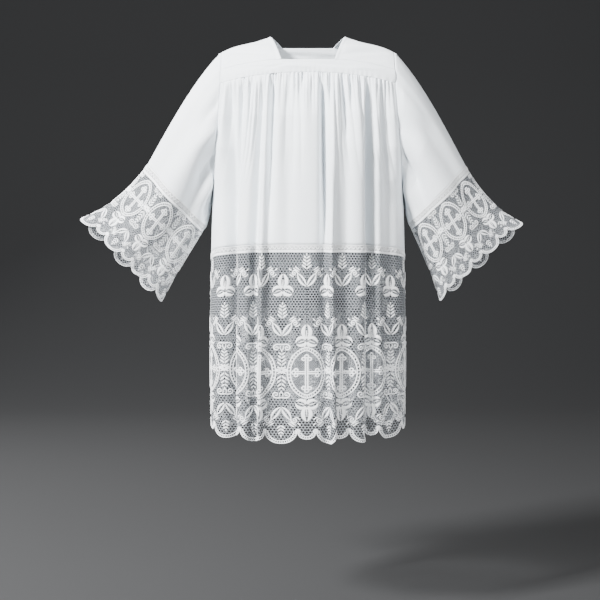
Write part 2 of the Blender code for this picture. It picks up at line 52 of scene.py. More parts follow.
camera_data = bpy.data.cameras.new("camera")
camera_data.lens = 96.0
camera_data.sensor_width = 36.0
camera = bpy.data.objects.new("camera", camera_data)
camera.location = (AIM[0], -VIEW_DISTANCE, VIEW_HEIGHT)
camera.rotation_euler = (Vector(AIM) - camera.location).to_track_quat("-Z", "Y").to_euler()
bpy.context.scene.collection.objects.link(camera)
bpy.context.scene.camera = camera


def grid_faces(index):
    """Quads between the neighbours of a grid of point numbers."""
    return np.stack([index[..., :-1, :-1], index[..., 1:, :-1], index[..., 1:, 1:], index[..., :-1, 1:]],
                    -1).reshape(-1, 4)


def face_mesh(name, points, *face_sets):
    """A smooth mesh from points and sets of faces, each set an array (faces, corners)."""
    points = points.reshape(-1, 3)
    sizes = np.concatenate([np.full(len(faces), faces.shape[1]) for faces in face_sets])
    corners = np.concatenate([faces.reshape(-1) for faces in face_sets])
    mesh = bpy.data.meshes.new(name)
    mesh.vertices.add(len(points))
    mesh.vertices.foreach_set("co", points.reshape(-1).astype(np.float32))
    mesh.loops.add(len(corners))
    mesh.loops.foreach_set("vertex_index", corners.astype(np.int32))
    mesh.polygons.add(len(sizes))
    mesh.polygons.foreach_set("loop_start", (np.cumsum(sizes) - sizes).astype(np.int32))
    mesh.update(calc_edges=True)
    mesh.shade_smooth()
    return mesh


def grid_mesh(name, points, uv=None, closed=False):
    """A mesh of quads over a grid of points (rows, columns, 3); a closed grid joins its last column
    to its first. The UV map holds the flat cloth's own place of each point, in metres."""
    columns = points.shape[1]
    index = np.arange(len(points) * columns).reshape(-1, columns)
    if closed:
        index = np.concatenate([index, index[:, :1]], axis=1)
    mesh = face_mesh(name, points, grid_faces(index))
    if uv is not None:
        if closed:
            last = uv[:, :1] + np.array([uv[0, -1, 0] * columns / (columns - 1), 0.0])
            uv = np.concatenate([uv, last], axis=1)
        corners = uv.reshape(-1, 2)[grid_faces(np.arange(uv[..., 0].size).reshape(uv.shape[:2]))]
        mesh.uv_layers.new(name="cloth").data.foreach_set("uv", corners.reshape(-1).astype(np.float32))
    mesh.validate()
    return mesh


def place(name, mesh, material):
    """An object at the origin for a mesh that already lies where it belongs."""
    mesh.materials.append(material)
    piece = bpy.data.objects.new(name, mesh)
    bpy.context.scene.collection.objects.link(piece)
    return piece


def new_finish(name, values):
    """A material with plain values on its shader: gives it with its node tree and the shader."""
    material = bpy.data.materials.new(name)
    material.use_nodes = True
    shader = material.node_tree.nodes["Principled BSDF"]
    for key, value in values.items():
        shader.inputs[key].default_value = value
    return material, material.node_tree, shader


turn = np.linspace(0, math.pi / 2, 24)
sweep_y = np.concatenate([[-ROOM], WALL_Y - SWEEP_RADIUS + SWEEP_RADIUS * np.sin(turn), [WALL_Y]])
sweep_z = np.concatenate([[FLOOR_Z], FLOOR_Z + SWEEP_RADIUS * (1 - np.cos(turn)), [FLOOR_Z + WALL_HIGH]])
sweep_x = np.linspace(-ROOM, ROOM, 3)
sweep = np.stack(np.broadcast_arrays(sweep_x[None, :], sweep_y[:, None], sweep_z[:, None]), -1)
paper = new_finish("grey_paper", {"Base Color": (0.013, 0.0135, 0.0145, 1.0), "Roughness": 0.9})[0]
place("studio_sweep", grid_mesh("studio_sweep", sweep), paper)


def softbox(name, at, aim, size, power):
    """A square studio light that points at aim."""
    data = bpy.data.lights.new(name, "AREA")
    data.size = size
    data.energy = power
    lamp = bpy.data.objects.new(name, data)
    lamp.location = at
    lamp.rotation_euler = (Vector(aim) - Vector(at)).to_track_quat("-Z", "Y").to_euler()
    bpy.context.scene.collection.objects.link(lamp)


softbox("key", (-2.7, -2.2, 2.1), (0, 0, -0.5), 0.7, 920)
softbox("fill", (2.4, -3.4, 0.4), (0, 0, -0.5), 1.8, 165)
softbox("top", (0.2, 0.6, 2.6), (0, 0, -0.5), 2.0, 30)
softbox("back", (-2.2, 3.0, 1.4), (0, 0, -0.5), 1.2, 220)
world = bpy.data.worlds.new("room")
world.use_nodes = True
world.node_tree.nodes["Background"].inputs["Color"].default_value = (0.93, 0.96, 1.0, 1.0)
world.node_tree.nodes["Background"].inputs["Strength"].default_value = 0.13
bpy.context.scene.world = world

# --------------------------------------
# Front and back: two cotton panels, each gathered on to its yoke band and open down the side to
# the underarm, where the sleeve is set in. Below the underarm the two meet in the side seam.
MM = 0.001
SIDES = ((-1, "front"), (1, "back"))
ARMS = ((-1, "left"), (1, "right"))
UPRIGHT = np.array([0.0, 0.0, 1.0])
GATHER_Z = -0.093
GATHER_SIDE_DROP = 0.027
SEAM_Z = -0.520
SEAM_SIDE_DROP = 0.035
INSERTION = 0.016
HEM_Z = -1.012
HEM_SIDE_RISE = 0.020
ROUNDNESS = 2.35
UNDERARM_LEVEL = 0.6966
SEAM_GAP = 0.00055
# The section of the body at each height: edge of the panel, and depth of its centre.
SECTION_COLUMNS = ("z", "edge_x", "edge_y", "centre_front", "centre_back")
SECTIONS = np.array((
    (-0.060, 0.2185, 0.060, 0.075, 0.072),
    (-0.120, 0.2190, 0.072, 0.104, 0.098),
    (-0.200, 0.2245, 0.082, 0.128, 0.122),
    (-0.280, 0.2315, 0.078, 0.140, 0.134),
    (-0.360, 0.2380, 0.052, 0.147, 0.140),
    (-0.390, 0.2405, 0.032, 0.149, 0.142),
    (-0.425, 0.2425, 0.000, 0.151, 0.145),
    (-0.560, 0.2460, 0.000, 0.160, 0.153),
    (-0.740, 0.2500, 0.000, 0.173, 0.166),
    (-0.900, 0.2490, 0.000, 0.181, 0.175),
    (-1.020, 0.2450, 0.000, 0.186, 0.180),
))
# Folds, in millimetres: x at the gather seam, the lace seam and the hem; height (a trough is negative)
# a quarter of the way down, at the lace seam and at the hem; half width; and in tenths, the pinch of
# a ridge's foot.
FOLD_UNITS = np.array(7 * (MM,) + (0.1,))
FRONT_FOLDS = FOLD_UNITS * (
    (-214, -222, -226, 4, 6, 8, 20, 0),
    (-188, -193, -196, -16, -30, -36, 12, 2),
    (-160, -160, -165, -6, 4, 4, 20, 0),
    (-112, -136, -140, -18, -22, -26, 11, 1),
    (-92, -112, -114, 6, 18, 28, 11, 5),
    (-46, -52, -60, -8, -3, -3, 16, 0),
    (10, 4, 2, 3, 4, 4, 34, 0),
    (43, 38, 44, -15, -12, -12, 11, 0),
    (64, 56, 62, 6, 17, 28, 11, 6),
    (96, 94, 93, -6, -4, -4, 13, 0),
    (128, 126, 126, 5, 4, 4, 20, 0),
    (155, 158, 158, -20, -34, -40, 12, 2),
    (198, 200, 206, -10, -8, -10, 14, 0),
    (216, 226, 230, 4, 6, 8, 18, 0),
)
BACK_FOLDS = FOLD_UNITS * (
    (-205, -214, -216, -8, -10, -12, 14, 1),
    (-165, -170, -172, -16, -26, -30, 14, 2),
    (-136, -142, -146, 6, 8, 10, 20, 3),
    (-98, -100, -104, -14, -20, -22, 14, 1),
    (-60, -66, -72, 6, 9, 12, 18, 3),
    (-30, -34, -36, -13, -15, -16, 14, 1),
    (12, 10, 6, 5, 6, 8, 26, 0),
    (48, 50, 52, -15, -22, -24, 14, 1),
    (84, 88, 86, 6, 9, 12, 18, 4),
    (112, 120, 124, -14, -18, -20, 14, 1),
    (150, 154, 158, 6, 8, 10, 20, 2),
    (182, 188, 194, -15, -23, -26, 14, 2),
)
# Shorter creases of the upper body: x at its top and its foot, height and half width in millimetres,
# with the two levels in hundredths between them.
CREASE_UNITS = np.array((MM, MM, 0.01, 0.01, MM, MM))
FRONT_CREASES = CREASE_UNITS * (
    (-163, -186, 0, 105, -14, 5.8),
    (-140, -135, 2, 30, -5, 5),
    (-124, -128, 0, 34, 4.5, 8),
    (-86, -110, 0, 130, -26, 8.5),
    (-66, -72, 0, 34, -6, 5),
    (-46, -50, 0, 26, -7, 4.5),
    (-24, -30, 2, 60, -3, 7),
    (-12, -10, 0, 12, -6, 4.5),
    (12, 6, 2, 34, -3.5, 6),
    (34, 44, 0, 120, -20, 5.6),
    (54, 60, 0, 20, -5, 4.5),
    (84, 98, 0, 46, -15, 5.2),
    (104, 112, 0, 24, -6, 4.5),
    (132, 128, 2, 28, -3.5, 5),
    (148, 160, 0, 130, -22, 5.2),
    (184, 200, 0, 80, -10, 6),
    (-196, -205, 2, 50, -6, 6),
)
BACK_CREASES = CREASE_UNITS * (
    (-176, -172, 0, 32, -6, 6),
    (-120, -126, 0, 26, -5, 5),
    (-80, -84, 0, 30, -5.5, 5),
    (-24, -28, 0, 34, -6, 5.5),
    (30, 34, 0, 22, -4.5, 5),
    (70, 66, 0, 30, -5.5, 5),
    (122, 130, 0, 28, -6, 5),
    (170, 178, 0, 36, -6, 6),
)
# Gathers: how many across the panel, height, the levels at which they are fullest and gone.
GATHERS = ((62, 0.0050, 0.00, 0.12), (38, 0.0062, 0.03, 0.30), (23, 0.0070, 0.10, 0.75))


def unit(vectors):
    """Vectors of length one along the last axis."""
    return vectors / np.maximum(np.linalg.norm(vectors, axis=-1, keepdims=True), 1e-12)


def run_length(points):
    """Running length along a line of points, or along each row of a grid of them."""
    steps = np.linalg.norm(np.diff(points, axis=-2), axis=-1)
    return np.concatenate([np.zeros_like(steps[..., :1]), np.cumsum(steps, axis=-1)], axis=-1)


def read_line(at, run, values):
    """Columns of values read at the places `at` along a running length."""
    return np.stack([np.interp(at, run, column) for column in values.T], -1)


def section_value(name, z):
    """A column of SECTIONS at height z, straight between its rows."""
    return np.interp(-z, -SECTIONS[:, 0], SECTIONS[:, SECTION_COLUMNS.index(name)])


def level_height(spread, level):
    """Height of a level (0 gather seam, 1 lace seam, 2 hem) at a place across the panel, -1 to 1:
    each of the three lines droops or rises towards the side as a power of the spread."""
    gather = GATHER_Z - GATHER_SIDE_DROP * np.abs(spread) ** 2.2
    seam = SEAM_Z - SEAM_SIDE_DROP * np.abs(spread) ** 3.5
    hem = HEM_Z + HEM_SIDE_RISE * np.abs(spread) ** 4
    above = gather + (seam - gather) * level
    below = seam + (hem - seam) * (level - 1.0)
    return np.where(level <= 1.0, above, below)


TABLE_Z = np.linspace(-0.06, -1.04, 99)
OVAL_STEPS = 400


def oval_table(side):
    """Half ovals at the heights of TABLE_Z, in even steps of their length from edge to edge:
    x = edge * (sin a / sin a_edge)^(2/n), y = depth * cos(a)^(2/n), n the roundness."""
    edge_x = section_value("edge_x", TABLE_Z)[:, None]
    edge_y = section_value("edge_y", TABLE_Z)[:, None]
    depth = section_value("centre_front" if side < 0 else "centre_back", TABLE_Z)[:, None]
    power = 2.0 / ROUNDNESS
    edge_angle = np.arccos(np.clip(edge_y / depth, 0, 1) ** (1 / power))
    angle = np.linspace(0.0, 1.0, OVAL_STEPS)[None, :] * edge_angle
    x = edge_x * (np.sin(angle) / np.sin(edge_angle)) ** power
    y = depth * np.clip(np.cos(angle), 0, 1) ** power
    x = np.concatenate([-x[:, :0:-1], x], axis=1)
    y = side * np.concatenate([y[:, :0:-1], y], axis=1)
    half_ovals = np.stack([x, y], -1)
    run = run_length(half_ovals)
    even = np.linspace(0, 1, OVAL_STEPS + 1)
    return np.array([read_line(even, r / r[-1], row) for r, row in zip(run, half_ovals)]), run[:, -1]


ovals = {side: oval_table(side) for side in (-1, 1)}


def read_grid(grid, row, column):
    """A grid read between its points, straight along both ways; row and column count from 0."""
    row = np.clip(row, 0, grid.shape[0] - 1.000001)
    column = np.clip(column, 0, grid.shape[1] - 1.000001)
    r, c = row.astype(int), column.astype(int)
    a, b = (row - r)[..., None], (column - c)[..., None]
    top = grid[r, c] * (1 - b) + grid[r, c + 1] * b
    foot = grid[r + 1, c] * (1 - b) + grid[r + 1, c + 1] * b
    return top * (1 - a) + foot * a


def oval_at(side, z, share):
    """The smooth body at height z and share 0 to 1 of the way round from edge to edge."""
    row = (TABLE_Z[0] - z) / (TABLE_Z[0] - TABLE_Z[1])
    return read_grid(ovals[side][0], row, share * OVAL_STEPS)


def bell(distance):
    """A soft rise, exp(-distance^2)."""
    return np.exp(-distance ** 2)


def smooth_step(value, low, high):
    """0 below low, 1 above high, and 3t^2 - 2t^3 between."""
    t = np.clip((value - low) / (high - low), 0, 1)
    return t * t * (3 - 2 * t)


def fold_heights(x, level, folds):
    """Height of the folds at x and how far a ridge's foot is drawn in: sums of bells over the table,
    the pull being the cube of the distance times its bell."""
    fade = smooth_step(level, 0.0, 0.22)
    height = np.zeros(np.broadcast(x, level).shape)
    shift = np.zeros_like(height)
    for x_top, x_seam, x_hem, high, seam, hem, half_width, pinch in folds:
        distance = (x - np.interp(level, (0, 1, 2), (x_top, x_seam, x_hem))) / half_width
        height += fade * np.interp(level, (0.25, 1, 2), (high, seam, hem)) * bell(distance)
        draw = pinch * np.interp(level, (0.5, 1, 2), (0, 0.5, 1))
        shift -= draw * half_width * 1.6 * distance ** 3 * bell(distance)
    return height, shift


def crease_heights(x, level, creases):
    """Short troughs: a bell across, and a rise and fall between the two levels."""
    height = np.zeros(np.broadcast(x, level).shape)
    for x_top, x_foot, start, stop, size, half_width in creases:
        along = (level - start) / (stop - start)
        centre = x_top + (x_foot - x_top) * along
        grow = smooth_step(along, -0.04, 0.13) * (1 - smooth_step(along, 0.35, 1.0))
        height += size * grow * bell((x - centre) / (half_width * (1 + 0.6 * np.clip(along, 0, 1))))
    return height


def gather_heights(spread, level, turn_by):
    """Small gathers: |sin| ridges with sharp valleys, their spacing and height swelling unevenly
    across the panel, each set fading at its own level."""
    height = np.zeros(np.broadcast(spread, level).shape)
    for count, size, full, gone in GATHERS:
        wobble = 0.9 * np.sin(5.1 * spread + count + turn_by) + 0.5 * np.sin(13.7 * spread + 2.0 * count)
        lean = 0.35 * level * np.sin(9.0 * spread + turn_by)
        phase = count * (spread + 1) / 2 + wobble + lean * count * 0.05
        uneven = 0.72 + 0.28 * np.sin(21.0 * spread + 3.0 * turn_by + count)
        fade = smooth_step(level, -0.04, full + 0.01) * (1 - smooth_step(level, full, gone))
        height += size * uneven * fade * (np.abs(np.sin(math.pi * phase)) ** 0.75 - 0.6)
    return height


def panel_points(side, spread, level, folds, creases=(), gathered=True):
    """Points of the front (side -1) or back (1) at a place across, -1 to 1, and a level down:
    the smooth body moved out along its normal by all the folds."""
    z = level_height(spread, level)
    share = (spread + 1) / 2 + 0 * z
    x_here = oval_at(side, z, share)[..., 0]
    height, shift = fold_heights(x_here, level + 0 * z, folds)
    calm = np.clip((1 - np.abs(spread)) / 0.06, 0, 1)
    height = height * calm
    length = np.interp(-z, -TABLE_Z, ovals[side][1])
    share = np.clip(share + shift * calm / length, 0, 1)
    if gathered:
        height = height + crease_heights(x_here, level + 0 * z, creases) * calm
        ends = np.clip((1 - np.abs(spread)) / 0.03, 0, 1)
        height = height + gather_heights(spread, level, 0.7 * side) * ends
    step = 0.004
    along = oval_at(side, z, np.clip(share + step, 0, 1)) - oval_at(side, z, np.clip(share - step, 0, 1))
    x_way, y_way = np.moveaxis(unit(along), -1, 0) * side * height
    x, y = np.moveaxis(oval_at(side, z, share), -1, 0)
    return np.stack([x - y_way, y + x_way, z], -1)


def node_link(tree, kind, inputs=(), **settings):
    """A node with its plain settings, and its inputs by name or number: a socket is linked, a value set."""
    node = tree.nodes.new(kind)
    for name, value in settings.items():
        setattr(node, name, value)
    for key, value in dict(inputs).items():
        if isinstance(value, bpy.types.NodeSocket):
            tree.links.new(value, node.inputs[key])
        else:
            node.inputs[key].default_value = value
    return node


def math_node(tree, operation, *values):
    """The output of a math node."""
    return node_link(tree, "ShaderNodeMath", dict(enumerate(values)), operation=operation).outputs[0]


def weave_group():
    """Plain weave on the flat cloth's own coordinates: two sets of fine threads, each waving over the
    other, with slubs from stretched noise. It puts out a height and a tone mask."""
    group = bpy.data.node_groups.new("plain_weave", "ShaderNodeTree")
    group.interface.new_socket("Threads per metre", in_out="INPUT", socket_type="NodeSocketFloat")
    group.interface.new_socket("Height", in_out="OUTPUT", socket_type="NodeSocketFloat")
    group.interface.new_socket("Tone", in_out="OUTPUT", socket_type="NodeSocketFloat")
    given = group.nodes.new("NodeGroupInput")
    out = group.nodes.new("NodeGroupOutput")
    uv = node_link(group, "ShaderNodeUVMap", uv_map="cloth").outputs["UV"]
    scaled = node_link(group, "ShaderNodeVectorMath", {0: uv, "Scale": given.outputs[0]}, operation="SCALE")
    parts = node_link(group, "ShaderNodeSeparateXYZ", {0: scaled.outputs[0]})
    waves, slubs = [], []
    for axis, stretch in enumerate(((900.0, 14.0, 1.0), (14.0, 900.0, 1.0))):
        turned = math_node(group, "MULTIPLY", parts.outputs[axis], math.pi)
        waves.append(math_node(group, "SINE", turned))
        long = node_link(group, "ShaderNodeVectorMath", {0: uv, 1: stretch}, operation="MULTIPLY")
        noise = node_link(group, "ShaderNodeTexNoise",
                          {"Vector": long.outputs[0], "Scale": 1.0, "Detail": 1.0})
        slubs.append(noise.outputs["Fac"])
    half = math_node(group, "MULTIPLY", math_node(group, "ADD", *slubs), 0.5)
    crossed = math_node(group, "MULTIPLY", *waves)
    group.links.new(math_node(group, "MULTIPLY_ADD", crossed, 0.5, half), out.inputs[0])
    group.links.new(half, out.inputs[1])
    return group


def wire(tree, shader, **outputs):
    """Links node outputs to the shader's inputs, whose names have a space for each underscore."""
    for name, output in outputs.items():
        tree.links.new(output, shader.inputs[name.replace("_", " ")])


def cotton_finish():
    """White cotton: its colour runs between a lighter and a darker thread tone, over a fine weave."""
    material, tree, shader = new_finish("white_cotton", {
        "Sheen Weight": 0.12, "Sheen Roughness": 0.45, "Specular IOR Level": 0.3})
    woven = tree.nodes.new("ShaderNodeGroup")
    woven.node_tree = weave_group()
    woven.inputs[0].default_value = THREADS_PER_METRE
    where = node_link(tree, "ShaderNodeTexCoord").outputs["Object"]
    broad = node_link(tree, "ShaderNodeTexNoise", {"Vector": where, "Scale": 7.0, "Detail": 3.0})
    tone = math_node(tree, "MULTIPLY_ADD", woven.outputs[1], 0.6, broad.outputs["Fac"])
    ramp = node_link(tree, "ShaderNodeMapRange", {"Value": tone, "From Min": 0.45, "From Max": 1.15})
    mix = node_link(tree, "ShaderNodeMix", {"Factor": ramp.outputs[0], 6: COTTON_SHADE, 7: COTTON_LIGHT},
                    data_type="RGBA")
    rough = node_link(tree, "ShaderNodeMapRange", {"Value": woven.outputs[1], "To Min": 0.76, "To Max": 0.88})
    raised = node_link(tree, "ShaderNodeBump", {"Height": woven.outputs[0], "Strength": 0.35,
                                                "Distance": 0.0004})
    wire(tree, shader, Base_Color=mix.outputs[2], Roughness=rough.outputs[0], Normal=raised.outputs[0])
    return material


THREADS_PER_METRE = 2200.0
COTTON_LIGHT = (0.885, 0.925, 0.955, 1)
COTTON_SHADE = (0.81, 0.86, 0.90, 1)
cotton = cotton_finish()
COTTON_WALL = 0.0011


def surface_normals(points, inside, closed=False):
    """Unit normals of a grid from its neighbours, turned away from the inside."""
    if closed:
        across = np.roll(points, -1, axis=1) - np.roll(points, 1, axis=1)
    else:
        across = np.gradient(points, axis=1)
    normals = unit(np.cross(across, np.gradient(points, axis=0)))
    return normals * np.sign(np.sum(normals * (points - inside)))


def on_body(piece, slot, *nodes):
    """The piece rides on the one body, in place of its CAD nodes if it has any."""
    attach(piece, "root")
    if nodes:
        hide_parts(*nodes)
    return piece


def shell(name, points, uv, node, inside, closed=False):
    """A finished cotton piece: its grid with the wall laid inwards."""
    across = np.diff(points, axis=1)[:-1]
    down = np.diff(points, axis=0)[:, :-1]
    facing = np.sum(np.cross(down, across) * (points - inside)[:-1, :-1])
    if facing < 0:
        points, uv = points[:, ::-1], uv[:, ::-1]
    piece = place(name, grid_mesh(name, points, uv, closed), cotton)
    wall = piece.modifiers.new("wall", "SOLIDIFY")
    wall.thickness = COTTON_WALL
    wall.offset = -1.0
    return on_body(piece, "cotton", node)


seam_lines = []


def seam_line(points, inside, row, column, closed=False):
    """Keep where a line of stitching runs on a piece's grid, by row and column, and the way outwards."""
    normals = surface_normals(points, inside, closed)
    if closed:
        points = np.concatenate([points, points[:, :1]], axis=1)
        normals = np.concatenate([normals, normals[:, :1]], axis=1)
    row, column = np.broadcast_arrays(np.asarray(row, float), np.asarray(column, float))
    seam_lines.append((read_grid(points, row, column), read_grid(normals, row, column)))


PANEL_COLUMNS = 300
PANEL_TOP_WIDTH = 0.66
PANEL_CUT = (0.84, 0.440)
rows_high = np.concatenate([np.linspace(0, 0.3, 42), np.linspace(0.3, 1.0, 44)[1:]])
panel_folds = {-1: (FRONT_FOLDS, FRONT_CREASES), 1: (BACK_FOLDS, BACK_CREASES)}
for side, label in SIDES:
    folds, creases = panel_folds[side]
    fine = np.linspace(-1, 1, 1201)[None, :]
    run = run_length(panel_points(side, fine, np.array([[1.0]]), folds, gathered=False))[0]
    spread = np.interp(np.linspace(0, run[-1], PANEL_COLUMNS + 1), run, fine[0])[None, :]
    points = panel_points(side, spread, rows_high[:, None], folds, creases)
    low = rows_high >= UNDERARM_LEVEL
    points[low, 0, 1] = points[low, -1, 1] = side * SEAM_GAP / 2
    row_width = PANEL_TOP_WIDTH + (PANEL_CUT[0] - PANEL_TOP_WIDTH) * rows_high[:, None]
    u = np.linspace(-0.5, 0.5, PANEL_COLUMNS + 1)[None, :] * row_width
    v = rows_high[:, None] * PANEL_CUT[1] + 0 * u
    body = shell(label + "_body_cloth", points, np.stack([u, v], -1), label + "_body", points * UPRIGHT)
    seam_line(points, points * UPRIGHT, len(rows_high) - 1.5, np.linspace(1, PANEL_COLUMNS - 1, 900))

# --------------------------------------
# Yoke: a flat cotton band in front and one behind, and a shoulder piece on each side between them,
# which leave the square neck open. The neck edge is turned in and stitched.
YOKE_HALF = 0.2185
NECK_HALF_FRONT = 0.066
NECK_HALF_TOP = 0.094
NECK_DROP = {-1: 0.061, 1: 0.022}
BAND_SIDE_DROP = {-1: 0.024, 1: 0.045}
SHOULDER_FALL = 0.25
SHOULDER_ROUND = 0.007
SHOULDER_ROUND_FROM = 0.170
SEAM_DEPTH = {-1: (0.078, 0.018), 1: (0.072, 0.014)}
NECK_HEM = 0.0065
BAND_COLUMNS = 220
BAND_ROWS = 21
BAND_PUFF = 0.0030
SEAM_PUCKER = 0.0007
SEAM_STITCHES = 0.0026
SHOULDER_ROWS = 65
SHOULDER_COLUMNS = 49
NECK_SPREAD = 1.15
# Pulls in the flat cloth, in millimetres: across and down at one end and at the other, height and
# half width.
BAND_PULLS = MM * np.array((
    (-190, 10, -90, 20, -1.6, 3.5),
    (-80, 16, 20, 22, 1.8, 4.5),
    (10, 12, 120, 18, -1.7, 4.0),
    (95, 24, 195, 12, 1.8, 4.5),
    (-120, 26, -40, 12, -1.4, 3.5),
))
YOKE_PULLS = MM * np.array((
    (4, 20, 120, 75, -4.2, 7.0),
    (6, 45, 115, 95, 4.0, 8.5),
    (20, 5, 125, 46, -3.8, 6.5),
    (40, 2, 120, 24, 3.0, 5.5),
    (10, 100, 120, 120, -3.0, 8.0),
))


def upper_seam_depth(x, side):
    """Distance of the band's upper seam from the shoulder line."""
    centre, less = SEAM_DEPTH[side]
    return centre - less * (x / YOKE_HALF) ** 2


def upper_seam_height(x, side):
    """Height of that seam: level at the neck, lower towards the armhole."""
    reach = np.clip((np.abs(x) - NECK_HALF_FRONT) / (YOKE_HALF - NECK_HALF_FRONT), 0, 1)
    return -NECK_DROP[side] - BAND_SIDE_DROP[side] * reach ** 1.8


def yoke_height(x, y):
    """Height of the shoulders: the shoulder line less a drop that grows as |y|^1.7 to either seam."""
    rounding = np.maximum((np.abs(x) - SHOULDER_ROUND_FROM) / (YOKE_HALF - SHOULDER_ROUND_FROM), 0.0)
    ridge = -SHOULDER_FALL * np.maximum(np.abs(x) - NECK_HALF_TOP, 0.0) - SHOULDER_ROUND * rounding ** 2
    seam = np.where(y < 0, upper_seam_height(x, -1), upper_seam_height(x, 1))
    depth = np.where(y < 0, upper_seam_depth(x, -1), upper_seam_depth(x, 1))
    return ridge - (ridge - seam) * (np.abs(y) / depth) ** 1.7


def pull_heights(across, down, pulls):
    """Soft straight creases in flat cloth: a bell of the distance from each one's line, times a sine
    along it that dies away at both ends."""
    height = np.zeros(np.broadcast(across, down).shape)
    for across_a, down_a, across_b, down_b, size, half_width in pulls:
        length = math.hypot(across_b - across_a, down_b - down_a)
        run_across, run_down = (across_b - across_a) / length, (down_b - down_a) / length
        along = ((across - across_a) * run_across + (down - down_a) * run_down) / length
        off = (across - across_a) * run_down - (down - down_a) * run_across
        height += size * bell(off / half_width) * np.sin(math.pi * np.clip(along, 0, 1)) ** 0.8
    return height


def turned_edge(distance):
    """Rise of a hem turned in along an edge: two extra layers, then a step down at its stitching."""
    return 0.0011 * (1 - smooth_step(distance, NECK_HEM - 0.0012, NECK_HEM + 0.0006))


for side, label in SIDES:
    spread = np.linspace(-1, 1, BAND_COLUMNS + 1)[None, :]
    foot = panel_points(side, spread, np.array([[0.0]]), panel_folds[side][0], gathered=False)
    x = foot[..., 0] * (YOKE_HALF / abs(foot[0, -1, 0]))
    y = side * upper_seam_depth(x, side)
    head = np.stack([x, y, yoke_height(x, y)], -1)
    t = np.linspace(0, 1, BAND_ROWS + 1)[:, None]
    points = head * (1 - t[..., None]) + foot * t[..., None]
    depth = np.linalg.norm(foot - head, axis=2)
    down = t * depth
    at_neck = 1 - smooth_step(np.abs(x), NECK_HALF_FRONT, NECK_HALF_FRONT + 0.004)
    height = BAND_PUFF * np.sin(math.pi * t) ** 0.8 + pull_heights(x, down, BAND_PULLS)
    height += turned_edge(down) * at_neck
    height += SEAM_PUCKER * t ** 4 * np.sin(spread * 96 + 3 * np.sin(spread * 11))
    points = points + surface_normals(points, points * UPRIGHT) * height[..., None]
    middle = points * UPRIGHT
    uv = np.stack([x + 0 * down, down], -1)
    band = shell(label + "_band_cloth", points, uv, label + "_yoke_band", middle)
    columns = np.linspace(1, BAND_COLUMNS - 1, 400)
    foot_row = BAND_ROWS * (1 - SEAM_STITCHES / depth[0])
    seam_line(points, middle, np.interp(columns, np.arange(BAND_COLUMNS + 1), foot_row), columns)
    neck_columns = BAND_COLUMNS * (0.5 + 0.5 * np.linspace(-1, 1, 90) * NECK_HALF_FRONT / YOKE_HALF)
    seam_line(points, middle, BAND_ROWS * NECK_HEM / depth[0, BAND_COLUMNS // 2], neck_columns)

for arm, label in ARMS:
    turn = np.linspace(-1.0, 1.0, SHOULDER_ROWS + 1)[:, None]
    across = np.linspace(0.0, 1.0, SHOULDER_COLUMNS + 1)[None, :]
    neck_x = NECK_HALF_FRONT + (NECK_HALF_TOP - NECK_HALF_FRONT) * (1 - np.abs(turn) ** 1.3)
    x = neck_x + (YOKE_HALF - neck_x) * across ** NECK_SPREAD
    y = turn * np.where(turn < 0, upper_seam_depth(x, -1), upper_seam_depth(x, 1))
    points = np.stack([arm * x, y, yoke_height(x, y)], -1)
    pulls = pull_heights(x - neck_x, 0.11 - np.abs(y) * 1.3, YOKE_PULLS) * (1 - np.abs(turn) ** 6)
    height = turned_edge(x - neck_x) + pulls
    inside = points * np.array([1.0, 0.0, 1.0]) - 0.2 * UPRIGHT
    points = points + surface_normals(points, inside) * height[..., None]
    uv = np.stack([x, y * 1.25], -1)
    yoke = shell("shoulder_cloth_" + label, points, uv, "shoulder_yoke_" + label, inside)
    rows = np.linspace(0, SHOULDER_ROWS, 130)
    neck_part = NECK_HEM / (YOKE_HALF - np.interp(rows, np.arange(SHOULDER_ROWS + 1), neck_x[:, 0]))
    for column in (SHOULDER_COLUMNS * neck_part ** (1 / NECK_SPREAD), SHOULDER_COLUMNS - 0.8):
        seam_line(points, inside, rows, column)
    for row in (0.9, SHOULDER_ROWS - 0.9):
        seam_line(points, inside, row, np.linspace(3, SHOULDER_COLUMNS - 1, 100))

# --------------------------------------
# Sleeves: wide tubes of cotton, each set into the armhole between the panels, the bands and the
# shoulder piece, flared a little to the cuff seam and held out from the body.
SLEEVE_COLUMNS = ("seam_out_x", "seam_out_z", "seam_in_x", "seam_in_z", "seam_half_depth",
                  "edge_out_x", "edge_out_z", "edge_in_x", "edge_in_z", "edge_half_depth")
SLEEVES = {
    -1: (0.408, -0.320, 0.258, -0.476, 0.088, 0.591, -0.463, 0.379, -0.678, 0.056),
    1: (0.402, -0.324, 0.256, -0.468, 0.088, 0.558, -0.475, 0.342, -0.676, 0.058),
}
CUFF_LENGTH = 0.235
UNDERARM_CLEARANCE = 0.007
SLEEVE_BELLY = 0.012
SLEEVE_BELLY_RISE = 0.7
CUFF_SAG = 0.012
EDGE_SKEW = 0.012
# Folds along a sleeve: place round it at the armhole and at the cuff (0 on top, to -1 down the front
# and 1 down the back), height half way, at the cuff seam and at the edge, half width.
SLEEVE_FOLDS = (
    (-0.62, -0.66, -0.016, -0.012, -0.006, 0.09),
    (-0.44, -0.46, 0.008, 0.006, 0.004, 0.10),
    (-0.26, -0.28, -0.006, -0.006, -0.008, 0.08),
    (0.34, 0.32, -0.012, -0.012, -0.008, 0.09),
    (0.56, 0.56, 0.008, 0.006, 0.005, 0.10),
    (0.74, 0.74, -0.010, -0.010, -0.006, 0.09),
)
